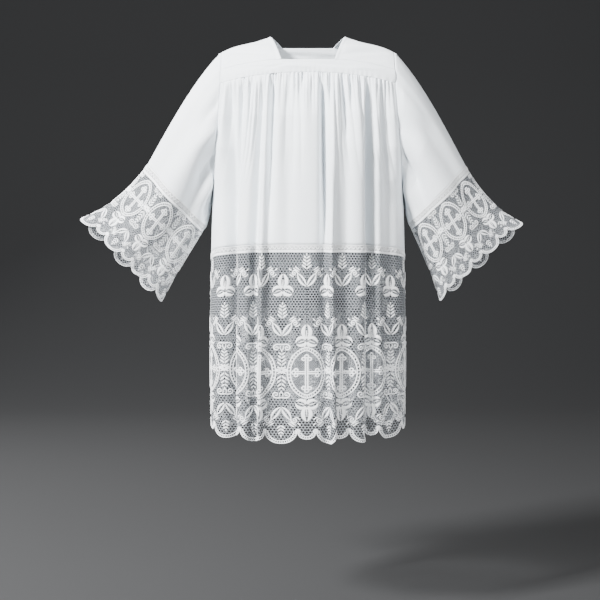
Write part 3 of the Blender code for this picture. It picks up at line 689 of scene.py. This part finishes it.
# Shorter creases of each sleeve: place round it at the top and the foot, the two levels, height and
# half width, all in thousandths.
SLEEVE_CREASES = {
    -1: MM * np.array((
        (-700, -580, 20, 750, -12, 45),
        (-780, -720, 100, 950, 7.5, 50),
        (-520, -420, 0, 600, 7.5, 40),
        (-360, -340, 0, 450, -5.3, 35),
        (-860, -840, 300, 1000, -9, 45),
        (300, 400, 0, 700, -9, 45),
        (660, 600, 50, 800, 7.5, 50),
    )),
    1: MM * np.array((
        (-660, -620, 0, 850, -9, 45),
        (-480, -380, 0, 550, -5.3, 40),
        (-800, -800, 150, 950, 6.7, 50),
        (-300, -220, 50, 600, 4.5, 45),
        (340, 300, 0, 600, -9, 45),
        (600, 640, 50, 800, 7.5, 50),
    )),
}
SLEEVE_AROUND = 168
SLEEVE_ROWS = 70
STRIP_ROWS = 5
CUFF_ROWS = 40
SLEEVE_CUT = (0.66, 0.36)


def armhole_points(arm, places):
    """Points of the armhole seam at places round it: up the front panel and band, over the shoulder
    and down the back, each half measured along its own length from the underarm."""
    levels = np.linspace(UNDERARM_LEVEL, 0, 90)[:, None]
    points = np.empty((len(places), 3))
    for side in (-1, 1):
        places_at_edge = np.full((90, 1), float(arm))
        edge = panel_points(side, places_at_edge, levels, panel_folds[side][0], gathered=False)[:, 0]
        y = np.linspace(1, 0, 40) * side * upper_seam_depth(YOKE_HALF, side)
        over = np.stack([np.full(len(y), arm * YOKE_HALF), y, yoke_height(YOKE_HALF, y)], 1)
        band = edge[-1] + (over[0] - edge[-1]) * np.linspace(0, 1, 12)[1:, None]
        edge[0, 1] = 0.0
        half = np.concatenate([edge, band, over[1:]])
        run = run_length(half)
        chosen = places < 0 if side < 0 else places >= 0
        points[chosen] = read_line(1 - np.abs(places[chosen]), run / run[-1], half)
    return points


def sleeve_ring(arm, places, level):
    """Rings of a cuff from its seam, 0, to its edge, 1: ovals whose long axis is the seam's own line,
    centre + half * cos(a) + depth * sin(a), the flare growing as level^1.8."""
    row = dict(zip(SLEEVE_COLUMNS, SLEEVES[arm]))
    seam_out, seam_in, edge_out, edge_in = (
        np.array([arm * row[end + "_x"], 0, row[end + "_z"]])
        for end in ("seam_out", "seam_in", "edge_out", "edge_in"))
    level = level[..., None]
    centre = ((seam_out + seam_in) * (1 - level) + (edge_out + edge_in) * level) / 2
    centre = centre - UPRIGHT * CUFF_SAG * 4 * level * (1 - level)
    flare = level ** 1.8
    half = ((seam_out - seam_in) * (1 - flare) + (edge_out - edge_in) * flare) / 2
    depth = row["seam_half_depth"] * (1 - level) + row["edge_half_depth"] * level
    angle = (places * math.pi)[..., None]
    arm_line = unit(edge_out + edge_in - seam_out - seam_in)
    return (centre + half * np.cos(angle) + depth * np.sin(angle) * np.array([0, 1.0, 0])
            + arm_line * EDGE_SKEW * level * np.sin(angle))


def clear_of_body(points, arm):
    """The points moved outwards where they would come too near the side of the body, whose
    x = edge * (1 - (y / depth)^n)^(1/n), n the roundness."""
    y, z = points[..., 1], points[..., 2]
    depth = np.where(y < 0, section_value("centre_front", z), section_value("centre_back", z))
    share = np.clip(1 - (np.abs(y) / depth) ** ROUNDNESS, 0.0, 1.0)
    side = section_value("edge_x", z) * share ** (1 / ROUNDNESS) + UNDERARM_CLEARANCE
    moved = points.copy()
    moved[..., 0] = arm * np.maximum(arm * points[..., 0], side)
    return moved


def sleeve_points(arm, levels):
    """The whole sleeve and cuff, rings at the levels: 0 armhole, 1 cuff seam, 2 lace edge."""
    places = np.linspace(-1, 1, SLEEVE_AROUND + 1)[None, :-1]
    level = levels[:, None]
    hole = armhole_points(arm, places[0])[None]
    share = np.clip(level, 0, 1)[..., None]
    points = hole * (1 - share) + sleeve_ring(arm, places, np.clip(level - 1, 0, 1)) * share
    height = crease_heights(places, level, SLEEVE_CREASES[arm])
    for at_top, at_cuff, middle, seam, edge, half_width in SLEEVE_FOLDS:
        centre = at_top + (at_cuff - at_top) * np.clip(level, 0, 1)
        size = np.interp(level, (0.0, 0.5, 1.0, 2.0), (0.0, middle, seam, edge))
        height = height + size * bell((places - centre) / half_width)
    belly = np.sin(math.pi * np.clip(level, 0, 1) ** SLEEVE_BELLY_RISE) * (1 + np.cos(math.pi * places)) / 2
    height = height + SLEEVE_BELLY * belly
    normals = surface_normals(points, points.mean(axis=1, keepdims=True), closed=True)
    points = points + normals * height[..., None]
    points[1:] = clear_of_body(points[1:], arm)
    return points


CUFF_FIRST = 1 + INSERTION / CUFF_LENGTH
sleeve_levels = np.concatenate([np.linspace(0, 1, SLEEVE_ROWS), np.linspace(1, CUFF_FIRST, STRIP_ROWS)[1:],
                                np.linspace(CUFF_FIRST, 2, CUFF_ROWS)[1:]])
sleeves = {}
for arm, label in ARMS:
    rings = sleeve_points(arm, sleeve_levels)
    sleeves[label] = rings
    points = rings[:SLEEVE_ROWS]
    middle = points.mean(axis=1, keepdims=True)
    u = np.linspace(0, SLEEVE_CUT[0], SLEEVE_AROUND, endpoint=False)[None, :] + np.zeros((SLEEVE_ROWS, 1))
    v = run_length(points.swapaxes(0, 1)).T
    v = v - v[-1:]
    uv = np.stack([u, v], -1)
    sleeve = shell("sleeve_cloth_" + label, points, uv, "sleeve_" + label, middle, closed=True)
    seam_line(points, middle, SLEEVE_ROWS - 1.8, np.linspace(0, SLEEVE_AROUND - 0.01, 700), closed=True)

# --------------------------------------
# Lace insertions: narrow bands of dense net between two cords, with a zigzag thread, that join the
# cotton to the lace round the body and round each sleeve.
CURVE_POINTS = 8
RING_POINTS = 13
CLOTH_COLUMNS = 701
OVAL_POINTS = 73
BOW_POINTS = 41
MESH_ROW = math.sqrt(3) / 2
NO_TRIANGLES = np.empty((0, 3), int)


class Cloth:
    """A flat piece laid on a grid: rows run down its depth, columns across its width at even lengths."""

    def __init__(self, points, width, depth, closed):
        if closed:
            points = np.concatenate([points, points[:, :1]], axis=1)
        run = run_length(points)
        even = np.linspace(0, 1, CLOTH_COLUMNS)
        self.points = np.array([read_line(even, r / r[-1], row) for r, row in zip(run, points)])
        middle = self.points.mean(axis=1, keepdims=True) if closed else self.points * UPRIGHT
        self.normals = surface_normals(self.points, middle)
        if closed:
            self.normals[:, 0] = self.normals[:, -1] = unit(self.normals[:, 0] + self.normals[:, -1])
        self.width, self.depth, self.closed = width, depth, closed

    def lay(self, flat, lift):
        """Flat places (u across, v down, metres) moved on to the piece, raised by lift."""
        u = flat[:, 0] % self.width if self.closed else flat[:, 0]
        row = flat[:, 1] / self.depth * (self.points.shape[0] - 1)
        column = u / self.width * (self.points.shape[1] - 1)
        normal = unit(read_grid(self.normals, row, column))
        return read_grid(self.points, row, column) + normal * lift[:, None]


def net_cells(width, depth, pitch, thread, closed, start=(0.0, 0.0)):
    """A net of hexagonal holes: six corners round each hole, and flat threads between neighbours with a
    small triangle where three threads meet. It gives the corners, the quads and the triangles."""
    columns = max(1, round(width / pitch))
    pitch_u = width / columns
    step = pitch * MESH_ROW
    rows = int(depth / step) + 2
    extra = 0 if closed else 1
    row, column = np.meshgrid(np.arange(rows), np.arange(columns + extra), indexing="ij")
    centre = np.stack([(column + 0.5 * (row % 2)) * pitch_u + start[0], row * step + start[1]], -1)
    radius = (pitch - thread) / 2 / MESH_ROW
    turn = np.radians((-90, -30, 30, 90, 150, 210))
    corner = np.stack([np.cos(turn) * pitch_u / pitch, np.sin(turn)], -1) * radius
    corners = (centre[:, :, None] + corner).reshape(-1, 2)
    index = (row * (columns + extra) + column) * 6

    def neighbour(rows_on, columns_on):
        """First corner of another cell; cells beyond the net's edge point back at themselves."""
        other_row = row + rows_on
        other_column = column + columns_on
        if closed:
            other_column = other_column % columns
        inside = (other_row < rows) & (other_column >= 0) & (other_column < columns + extra)
        first = (np.clip(other_row, 0, rows - 1) * (columns + extra)
                 + np.clip(other_column, 0, columns + extra - 1)) * 6
        return first, inside

    east, has_east = neighbour(0, 1)
    south_east, has_south_east = neighbour(1, row % 2)
    south_west, has_south_west = neighbour(1, row % 2 - 1)
    quads = np.concatenate([
        np.stack([index + 1, index + 2, east + 4, east + 5], -1)[has_east],
        np.stack([index + 2, index + 3, south_east + 5, south_east], -1)[has_south_east],
        np.stack([index + 3, index + 4, south_west, south_west + 1], -1)[has_south_west]])
    both = has_east & has_south_east
    pair = has_south_west & has_south_east
    triangles = np.concatenate([
        np.stack([index + 2, east + 4, south_east], -1)[both],
        np.stack([index + 3, south_east + 5, south_west + 1], -1)[pair]])
    return corners, quads, triangles


def bezier(controls, count=CURVE_POINTS):
    """Points of cubic curves from their four controls (curves, 4, 2)."""
    t = np.linspace(0, 1, count)[None, :, None]
    a, b, c, d = (controls[:, None, k] for k in range(4))
    return a * (1 - t) ** 3 + 3 * b * t * (1 - t) ** 2 + 3 * c * t * t * (1 - t) + d * t ** 3


def ribbon(paths, half_widths, base, crown):
    """Padded stitching along paths (curves, points, 2): three lines, the outer two lying at base and
    the middle one raised by crown where the stroke is full. It gives a layer."""
    along = unit(np.gradient(paths, axis=1))
    side = np.stack([-along[..., 1], along[..., 0]], -1) * half_widths[..., None]
    flat = np.stack([paths - side, paths, paths + side], 2)
    full = half_widths / np.maximum(half_widths.max(axis=1, keepdims=True), 1e-9)
    lift = np.stack([base + 0 * full, base + crown * full, base + 0 * full], 2)
    quads = grid_faces(np.arange(lift.size).reshape(lift.shape))
    return flat.reshape(-1, 2), lift.reshape(-1), quads, NO_TRIANGLES


def add_padding(mesh, padded):
    """Marks each point of a mesh as padded stitching, 1, or single thread, 0."""
    stitched = mesh.attributes.new("padding", "FLOAT", "POINT")
    stitched.data.foreach_set("value", padded.astype(np.float32))


def lace_piece(name, cloth, layers, node):
    """One lace piece from its layers of (flat places, lifts, quads, triangles), laid on the cloth. Faces
    wholly outside the cut are left out."""
    flats, lifts, padded, all_quads, all_triangles = [], [], [], [], []
    first = 0
    for flat, lift, quads, triangles in layers:
        flats.append(flat)
        lifts.append(lift)
        padded.append(np.full(len(flat), 1.0 if lift.max() > 0 else 0.0))
        all_quads.append(quads + first)
        all_triangles.append(triangles + first)
        first += len(flat)
    flat, lift = np.concatenate(flats), np.concatenate(lifts)
    loops = []
    for faces in (np.concatenate(all_quads), np.concatenate(all_triangles)):
        u, v = flat[faces][..., 0], flat[faces][..., 1]
        inside = (v.max(axis=1) > 1e-5) & (v.min(axis=1) < cloth.depth - 1e-5)
        if not cloth.closed:
            inside &= (u.max(axis=1) > 1e-5) & (u.min(axis=1) < cloth.width - 1e-5)
        loops.append(faces[inside])
    used, places = np.unique(np.concatenate([faces.reshape(-1) for faces in loops]), return_inverse=True)
    quads, triangles = np.split(places.reshape(-1), [loops[0].size])
    points = cloth.lay(flat[used], lift[used])
    mesh = face_mesh(name, points, quads.reshape(-1, 4), triangles.reshape(-1, 3))
    add_padding(mesh, np.concatenate(padded)[used])
    mesh.validate()
    return on_body(place(name, mesh, lace_thread), "lace", node)


def long_cord(start, end, half_width, crown, count=240):
    """A straight cord along a seam or a cut edge, as a layer."""
    path = (np.array(start) + (np.array(end) - np.array(start)) * np.linspace(0, 1, count)[:, None])[None]
    return ribbon(path, np.full((1, count), half_width), 0.0, crown)


def thread_finish():
    """Cotton thread: bright white where it is padded; in the fine single threads of the net a dark grey,
    painted shade, with a fine twisted grain."""
    material, tree, shader = new_finish("lace_thread", {
        "Roughness": 0.7, "Sheen Weight": 0.08, "Specular IOR Level": 0.35})
    where = node_link(tree, "ShaderNodeTexCoord").outputs["Object"]
    twist = {"Vector": where, "Scale": 900.0, "Detail": 2.0}
    grain = node_link(tree, "ShaderNodeTexNoise", twist).outputs["Fac"]
    padding = node_link(tree, "ShaderNodeAttribute", attribute_name="padding").outputs["Fac"]
    mixed = math_node(tree, "MULTIPLY_ADD", grain, 0.12, padding)
    # The net's single threads get the dark grey of painted shade, the padded stitching the thread's white.
    white_and_net_shade = {"Factor": mixed, 6: NET_PAINTED_SHADE, 7: PADDED_WHITE}
    mix = node_link(tree, "ShaderNodeMix", white_and_net_shade, data_type="RGBA")
    raised = node_link(tree, "ShaderNodeBump", {"Height": grain, "Strength": 0.5, "Distance": 0.0003})
    wire(tree, shader, Base_Color=mix.outputs[2], Normal=raised.outputs[0])
    return material


PADDED_WHITE = (0.95, 0.97, 0.985, 1)
# The net's colour is painted shade: a dark grey that makes the net's single threads read darker than the
# padded stitching.
NET_PAINTED_SHADE = (0.30, 0.32, 0.345, 1)
lace_thread = thread_finish()
HEM_WIDTH = 0.756
HEM_REPEATS = 7
HEM_SHIFT = 0.5
HEM_LACE_DEPTH = 0.476
CUFF_WIDTH = 0.64
CUFF_REPEATS = 7
CUFF_SHIFT = 0.7
CUFF_LACE_DEPTH = 0.219
FINE_PITCH = 3.6 * MM
FINE_THREAD = 0.85 * MM
INSERTION_THREAD = 1.9 * MM
INSERTION_ZIGZAG = 5.0 * MM
seam_level = 1 + INSERTION / (SEAM_Z - HEM_Z)
lace_columns = np.linspace(-1, 1, 1401)[None, :]


def insertion_layers(width, closed):
    """Dense net, a cord along either edge and a zigzag thread over them."""
    corners, quads, triangles = net_cells(width, INSERTION, FINE_PITCH, INSERTION_THREAD, closed)
    layers = [(corners, np.full(len(corners), 1e-5), quads, triangles),
              long_cord((0, 0.0012), (width, 0.0012), 0.0012, 0.0008),
              long_cord((0, INSERTION - 0.0014), (width, INSERTION - 0.0014), 0.0014, 0.0009)]
    count = 2 * round(width / 2 / INSERTION_ZIGZAG)
    left = np.arange(count) * width / count
    low, high = 0.0115, 0.0035
    start_v = np.where(np.arange(count) % 2, low, high)
    end_v = low + high - start_v
    start = np.stack([left, start_v], -1)
    end = np.stack([left + width / count, end_v], -1)
    controls = np.stack([start, start * 0.7 + end * 0.3, start * 0.3 + end * 0.7, end], 1)
    layers.append(ribbon(bezier(controls, 3), np.full((count, 3), 0.0011), 0.0003, 0.0009))
    return layers


hem_clothes = {}
for side, label in SIDES:
    folds = panel_folds[side][0]
    strip = panel_points(side, lace_columns, np.linspace(1, seam_level, 4)[:, None], folds, gathered=False)
    strip[:, (0, -1), 1] = side * SEAM_GAP / 2
    cloth = Cloth(strip, HEM_WIDTH, INSERTION, False)
    piece = lace_piece("insertion_lace_" + label, cloth, insertion_layers(HEM_WIDTH, False),
                       "hem_insertion_" + label)
    skirt = panel_points(side, lace_columns, np.linspace(seam_level, 2, 60)[:, None], folds, gathered=False)
    skirt[:, (0, -1), 1] = side * SEAM_GAP / 2
    hem_clothes[label] = Cloth(skirt, HEM_WIDTH, HEM_LACE_DEPTH, False)

cuff_clothes = {}
for arm, label in ARMS:
    rings = sleeves[label]
    strip = rings[SLEEVE_ROWS - 1:SLEEVE_ROWS + STRIP_ROWS - 1]
    cloth = Cloth(strip, CUFF_WIDTH, INSERTION, True)
    piece = lace_piece("cuff_band_lace_" + label, cloth, insertion_layers(CUFF_WIDTH, True),
                       "cuff_insertion_" + label)
    cuff_clothes[label] = Cloth(rings[SLEEVE_ROWS + STRIP_ROWS - 2:], CUFF_WIDTH, CUFF_LACE_DEPTH, True)

# --------------------------------------
# Lace of the hem and cuffs: machine lace with a bold hexagonal net, padded leaves and curls, oval
# medallions of fine net with a budded cross, and a scalloped edge. The hem has the whole design, the
# cuffs its lower part a little smaller. Everything is drawn in millimetres for one repeat.
REPEAT = 105.0
NET_PITCH = 7.16
NET_THREAD = 1.65
CUFF_SCALE = 0.87
CUFF_START = 228.0
# Strokes right of each motif's middle, mirrored to its left: four points of a curve (across, down), the
# half width, and the parts of it at the start and at the end.
LEAF_PAIR = (
    (1.2, 45, 10, 41, 20, 31, 21, 13, 2.5, 0.3, 0.1),
    (1.0, 42, 3, 33, 9, 20, 20, 13, 2.3, 0.3, 0.1),
    (19, 17, 21, 8, 27, 4, 31, 9, 1.5, 0.5, 0.8),
    (31, 9, 34, 15, 28, 20, 25, 16, 1.5, 0.8, 0.5),
    (25, 16, 24, 12, 28, 10, 29, 13, 1.3, 0.6, 1.0),
    (16, 9, 21, 8, 26, 3, 30, 1, 1.5, 0.2, 0.9),
    (14, 5, 18, 4, 22, 0, 26, -3, 1.5, 0.2, 0.9),
    (28, 21, 32, 22, 36, 19, 38, 15, 1.4, 0.2, 0.9),
    (33, 6, 36, 6, 38, 4, 39, 1, 1.4, 0.2, 0.9),
)
TREFOIL = (
    (0.9, 32, 10.5, 26, 9.5, 7, 0.7, -2, 4.2, 0.4, 0.1),
    (0.2, 33, 0.2, 26, 0.2, 19, 0.2, 12, 1.0, 0.6, 0.3),
    (2.4, 35.5, 8, 26, 20, 30, 23, 43, 3.7, 0.35, 0.15),
    (2.2, 40.5, 3, 49, 13, 54, 21, 47, 3.7, 0.35, 0.15),
    (4.0, 38.5, 8, 39, 13, 41, 18, 44, 1.1, 0.6, 0.3),
    (0.8, 42, 1.0, 46, 2.5, 50, 5, 53, 1.4, 0.5, 0.7),
)
DOUBLE_CURL = (
    (0, -6.5, 6, -7.5, 14, -9, 17, -2, 1.5, 1.0, 0.9),
    (17, -2, 18.5, 5, 10, 9, 7.5, 3.5, 1.5, 0.9, 0.7),
    (7.5, 3.5, 6.5, -1.5, 12, -3, 12.5, 1, 1.3, 0.7, 1.0),
    (0.5, 7, 3, 6, 4, 2, 3.2, -4, 1.2, 0.5, 0.8),
)
BLOSSOM = (
    (1.8, 0, 6, -3.2, 10, -2.5, 14, 0, 2.0, 0.3, 0.3),
    (1.8, 0, 6, 3.2, 10, 2.5, 14, 0, 2.0, 0.3, 0.3),
    (1.2, -1.4, 3, -6, 7, -7, 9, -9, 2.1, 0.3, 0.4),
    (1.2, 1.4, 3, 6, 7, 7, 9, 9, 2.1, 0.3, 0.4),
    (0.2, -1.6, 1.2, -4, 1.2, -7, 0.2, -9, 1.2, 0.4, 0.4),
    (0.2, 1.6, 1.2, 4, 1.2, 7, 0.2, 9, 1.2, 0.4, 0.4),
)
CROSS = (
    (2.3, -34, 2.3, -10, 2.3, 12, 2.3, 38, 1.6, 1.0, 1.0),
    (2.3, -2.4, 9, -2.4, 15, -2.4, 22, -2.4, 1.6, 1.0, 1.0),
    (2.3, 2.4, 9, 2.4, 15, 2.4, 22, 2.4, 1.6, 1.0, 1.0),
)
# Small rings: middle and radius of each, and half the width of its stitching.
CROSS_RINGS = ((0, -40.5, 3.9, 1.6), (6.2, -34, 3.7, 1.6), (0, 44.5, 3.9, 1.6), (6.2, 38, 3.7, 1.6),
               (27, 0, 3.9, 1.6), (22.0, -6.2, 3.7, 1.6), (22.0, 6.2, 3.7, 1.6))
# Medallion: half width, half height, the band between its two cords and how many rungs it has.
MEDALLION = (40.5, 62.5)
MEDALLION_BAND = 6.6
MEDALLION_RUNGS = 44
MEDALLION_MIDDLE = 299
# Where the motifs stand: part of the repeat across, height of the motif's own zero, 1 upright or -1
# turned over, from the top of the lace.
MOTIFS = (
    (LEAF_PAIR, 0.0, 41, 1),
    (TREFOIL, 0.5, 58, 1),
    (LEAF_PAIR, 0.5, 164, 1),
    (TREFOIL, 0.0, 182, 1),
    (DOUBLE_CURL, 0.5, 237, 1),
    (BLOSSOM, 0.5, 294, 1),
    (DOUBLE_CURL, 0.5, 355, -1),
    (CROSS, 0.0, MEDALLION_MIDDLE, 1),
    (TREFOIL, 0.0, 417, -1),
    (LEAF_PAIR, 0.5, 430, -1),
)
# Ears of small leaves: part of the repeat across, heights of the bud and the foot, how many pairs of
# leaves, and how far the last reaches.
EARS = (
    (0.0, 9, 42, 4, 10.5),
    (0.5, 130, 164, 4, 10.5),
    (0.5, 247, 281, 4, 9.5),
    (0.5, 346, 308, 4, 10.0),
    (0.5, 455, 431, 3, 8.0),
)
# Scallops of the edge: across, half width, height of its ends, depth, rungs in its border.
SCALLOPS = ((0.5, 34.0, 441.0, 35.0, 18), (0.0, 18.5, 447.0, 17.0, 9))
SCALLOP_BAND = 7.4


def medallion_half(v, shrink):
    """Half width of the medallion at height v from its middle: the mean of an ellipse and of a pointed
    oval of two circle arcs, both drawn in by shrink."""
    half_u, half_v = MEDALLION[0] - shrink, MEDALLION[1] - shrink * 1.15
    height = np.clip(np.abs(v), 0, half_v)
    ellipse = half_u * np.sqrt(1 - (height / half_v) ** 2)
    radius = (half_u ** 2 + half_v ** 2) / (2 * half_u)
    pointed = np.sqrt(np.maximum(radius ** 2 - height ** 2, 0)) - (radius - half_u)
    return np.where(np.abs(v) < half_v, 0.5 * (ellipse + pointed), 0.0)


def scallop_edge(u):
    """Height of the scalloped edge at u in the repeat (the medallion's middle is 0): v0 + depth *
    (1 - (u / half)^2)^0.45 over each scallop."""
    edge = np.full(np.shape(u), SCALLOPS[0][2])
    for across, half, top, depth, _ in SCALLOPS:
        offset = (u - across * REPEAT + REPEAT / 2) % REPEAT - REPEAT / 2
        bow = top + depth * np.clip(1 - (offset / half) ** 2, 0, 1) ** 0.45
        edge = np.where(np.abs(offset) < half, np.maximum(edge, bow), edge)
    return edge


def tapered(half_width, start, end, count):
    """Half widths along strokes: from start to end straight, filled out to the full width midway."""
    t = np.linspace(0, 1, count)
    straight = start[:, None] * (1 - t) + end[:, None] * t
    return half_width[:, None] * (straight + (1 - straight) * np.sin(math.pi * t))


def design_strokes():
    """All strokes of one repeat: paths and half widths, in groups of the same number of points."""
    rows = []
    for motif, across, down, way in MOTIFS:
        table = np.array(motif, dtype=float)
        for mirror in (1, -1):
            moved = table.copy()
            moved[:, 0:8:2] = mirror * table[:, 0:8:2] + across * REPEAT
            moved[:, 1:8:2] = way * table[:, 1:8:2] + down
            rows.append(moved)
    for across, top, foot, count, reach in EARS:
        step = (foot - top) / count
        way = math.copysign(1.0, step)
        v = top + step * (np.arange(count) + 0.9)
        size = reach * np.linspace(0.65, 1.0, count)
        for mirror in (1, -1):
            u = across * REPEAT + mirror * np.outer([0.10, 0.25, 0.75, 1.0], size)
            drop = way * np.outer([0.25, -0.25, -0.35, -0.85], size)
            chevrons = np.empty((count, 11))
            chevrons[:, 0:8:2] = u.T
            chevrons[:, 1:8:2] = (v + drop).T
            chevrons[:, 8:] = (1.9, 0.35, 0.25)
            rows.append(chevrons)
        bud = across * REPEAT
        rows.append(np.array([[bud, top + 2 * way, bud, top, bud, top - 2 * way, bud, top - 5 * way,
                               1.6, 0.5, 0.2]]))
    table = np.concatenate(rows)
    controls = table[:, :8].reshape(-1, 4, 2)
    curves = [(bezier(controls), tapered(table[:, 8], table[:, 9], table[:, 10], CURVE_POINTS))]

    rings = [(mirror * u, v + MEDALLION_MIDDLE, r, w) for u, v, r, w in CROSS_RINGS
             for mirror in (1, -1) if u or mirror > 0]
    across, half, top = SCALLOPS[0][:3]
    rings += [(across * REPEAT + mirror * (half + 0.5), top + 3.0, radius, wide)
              for mirror in (1, -1) for radius, wide in ((4.6, 1.4), (1.7, 1.2))]
    rings = np.array(rings)
    turn = np.linspace(0, 2 * math.pi, RING_POINTS)
    circle = np.stack([np.cos(turn), np.sin(turn)], -1)
    curves.append((rings[:, None, :2] + circle * rings[:, None, 2:3],
                   np.repeat(rings[:, 3:4], RING_POINTS, 1)))

    def oval(turn, shrink):
        """Points round the medallion at angles from its side."""
        v = np.sin(turn) * (MEDALLION[1] - shrink * 1.15)
        return np.stack([np.sign(np.cos(turn)) * medallion_half(v, shrink), v + MEDALLION_MIDDLE], -1)

    turn = np.linspace(-math.pi / 2, 1.5 * math.pi, OVAL_POINTS)
    cords = np.array([oval(turn, 0.0), oval(turn, MEDALLION_BAND)])
    curves.append((cords, np.full((2, OVAL_POINTS), 1.35)))
    turn = np.linspace(0, 2 * math.pi, MEDALLION_RUNGS, endpoint=False) + 0.07
    bars = [np.stack([oval(turn, 0.6), oval(turn, MEDALLION_BAND - 0.6)], 1)]

    for across, half, top, depth, count in SCALLOPS:
        def bow(turn, shrink):
            """Points along the scallop at angles from its right end."""
            return np.stack([across * REPEAT + (half - shrink) * np.cos(turn),
                             top + (depth - shrink) * np.sin(turn) ** 0.9], -1)

        turn = np.linspace(math.pi * 0.985, math.pi * 0.015, BOW_POINTS)
        cords = np.array([bow(turn, 1.3), bow(turn, SCALLOP_BAND)])
        curves.append((cords, np.full((2, BOW_POINTS), 1.15)))
        turn = np.linspace(math.pi * 0.93, math.pi * 0.07, count)
        bars.append(np.stack([bow(turn, 2.0), bow(turn, SCALLOP_BAND - 0.5)], 1))
    bars = np.concatenate(bars)
    share = np.linspace(0, 1, 3)[None, :, None]
    curves.append((bars[:, :1] * (1 - share) + bars[:, 1:] * share, np.full((len(bars), 3), 0.95)))
    return curves


def lace_layers(width, depth, repeats, closed, start, scale, shift):
    """Every layer of a lace piece: the bold net outside the medallions, the fine net inside them, the
    strokes of all repeats and, where the piece is cut, its corded edges."""
    period = width / repeats
    to_flat = np.array([period / REPEAT, scale * MM])
    pitch = NET_PITCH * scale * MM
    corners, quads, triangles = net_cells(width, depth, pitch, NET_THREAD * scale * MM, closed)

    def design(flat):
        """Flat metres back to millimetres of one repeat, the medallion's middle at u = 0."""
        u = (flat[..., 0] / to_flat[0] + (0.5 - shift) * REPEAT) % REPEAT - REPEAT / 2
        return u, flat[..., 1] / to_flat[1] + start

    layers = []
    chosen = []
    for faces in (quads, triangles):
        u, v = design(corners[faces].mean(axis=1))
        outside = np.abs(u) > medallion_half(v - MEDALLION_MIDDLE, 3.0)
        chosen.append(faces[outside & (v < scallop_edge(u) - 2.0)])
    layers.append((corners, np.zeros(len(corners)), *chosen))
    fine, quads, triangles = net_cells(width, 2 * MEDALLION[1] * scale * MM, FINE_PITCH * scale,
                                       FINE_THREAD * scale, closed,
                                       (0.0, (MEDALLION_MIDDLE - MEDALLION[1] - start) * scale * MM))
    chosen = []
    for faces in (quads, triangles):
        u, v = design(fine[faces].mean(axis=1))
        chosen.append(faces[np.abs(u) < medallion_half(v - MEDALLION_MIDDLE, MEDALLION_BAND - 2.0)])
    layers.append((fine, np.full(len(fine), -0.0004), *chosen))
    for paths, half_widths in design_strokes():
        low = paths[..., 1].min(axis=1) > start - 1.0
        paths, half_widths = paths[low], half_widths[low]
        which = range(repeats) if closed else range(-2, repeats + 1)
        many = np.concatenate([paths + np.array([(k + shift) * REPEAT, -start]) for k in which])
        wide = np.tile(half_widths, (len(which), 1))
        layers.append(ribbon(many * to_flat, wide * scale * MM, 0.0002, 0.0010))
    layers.append(long_cord((0, 0.0013), (width, 0.0013), 0.0013, 0.0007))
    if not closed:
        for u in (0.0012, width - 0.0012):
            layers.append(long_cord((u, 0), (u, depth - 0.030), 0.0012, 0.0006))
    return layers


for side, label in SIDES:
    layers = lace_layers(HEM_WIDTH, HEM_LACE_DEPTH, HEM_REPEATS, False, 0.0, 1.0, HEM_SHIFT)
    piece = lace_piece("skirt_lace_" + label, hem_clothes[label], layers, "hem_lace_" + label)
for arm, label in ARMS:
    layers = lace_layers(CUFF_WIDTH, CUFF_LACE_DEPTH, CUFF_REPEATS, True, CUFF_START, CUFF_SCALE,
                         CUFF_SHIFT)
    piece = lace_piece("cuff_edge_lace_" + label, cuff_clothes[label], layers, "cuff_lace_" + label)

# --------------------------------------
# Machine stitching: short raised stitches of cotton thread along the neck hem, the yoke's seams, the
# foot of the body and the cuff seams.
STITCH_PITCH = 0.0032
STITCH_LENGTH = 0.0024
STITCH_HALF_WIDTH = 0.00040
STITCH_RISE = 0.00045


def stitch_grids(path, normal):
    """Each stitch of a seam line as a small grid (stitches, 4 along, 3 across, 3): its ends dip into the
    cloth and its middle stands up."""
    run = run_length(path)
    starts = np.arange(int(run[-1] / STITCH_PITCH)) * STITCH_PITCH
    at = starts[:, None] + np.linspace(0, STITCH_LENGTH, 4)
    on = read_line(at, run, path)
    out = unit(read_line(at, run, normal))
    side = unit(np.cross(np.gradient(on, axis=1), out))
    full = np.array([0.4, 1.0, 1.0, 0.4])[:, None]
    rise = np.array([-0.2, 1.0, 1.0, -0.2])[:, None]
    edge = side * full * STITCH_HALF_WIDTH
    base = on - out * 0.0001
    return np.stack([base - edge, base + out * rise * STITCH_RISE, base + edge], 2)


stitches = np.concatenate([stitch_grids(path, normal) for path, normal in seam_lines])
mesh = face_mesh("seam_stitches", stitches, grid_faces(np.arange(len(stitches) * 12).reshape(-1, 4, 3)))
add_padding(mesh, np.ones(len(stitches) * 12))
on_body(place("seam_stitches", mesh, lace_thread), "cotton")
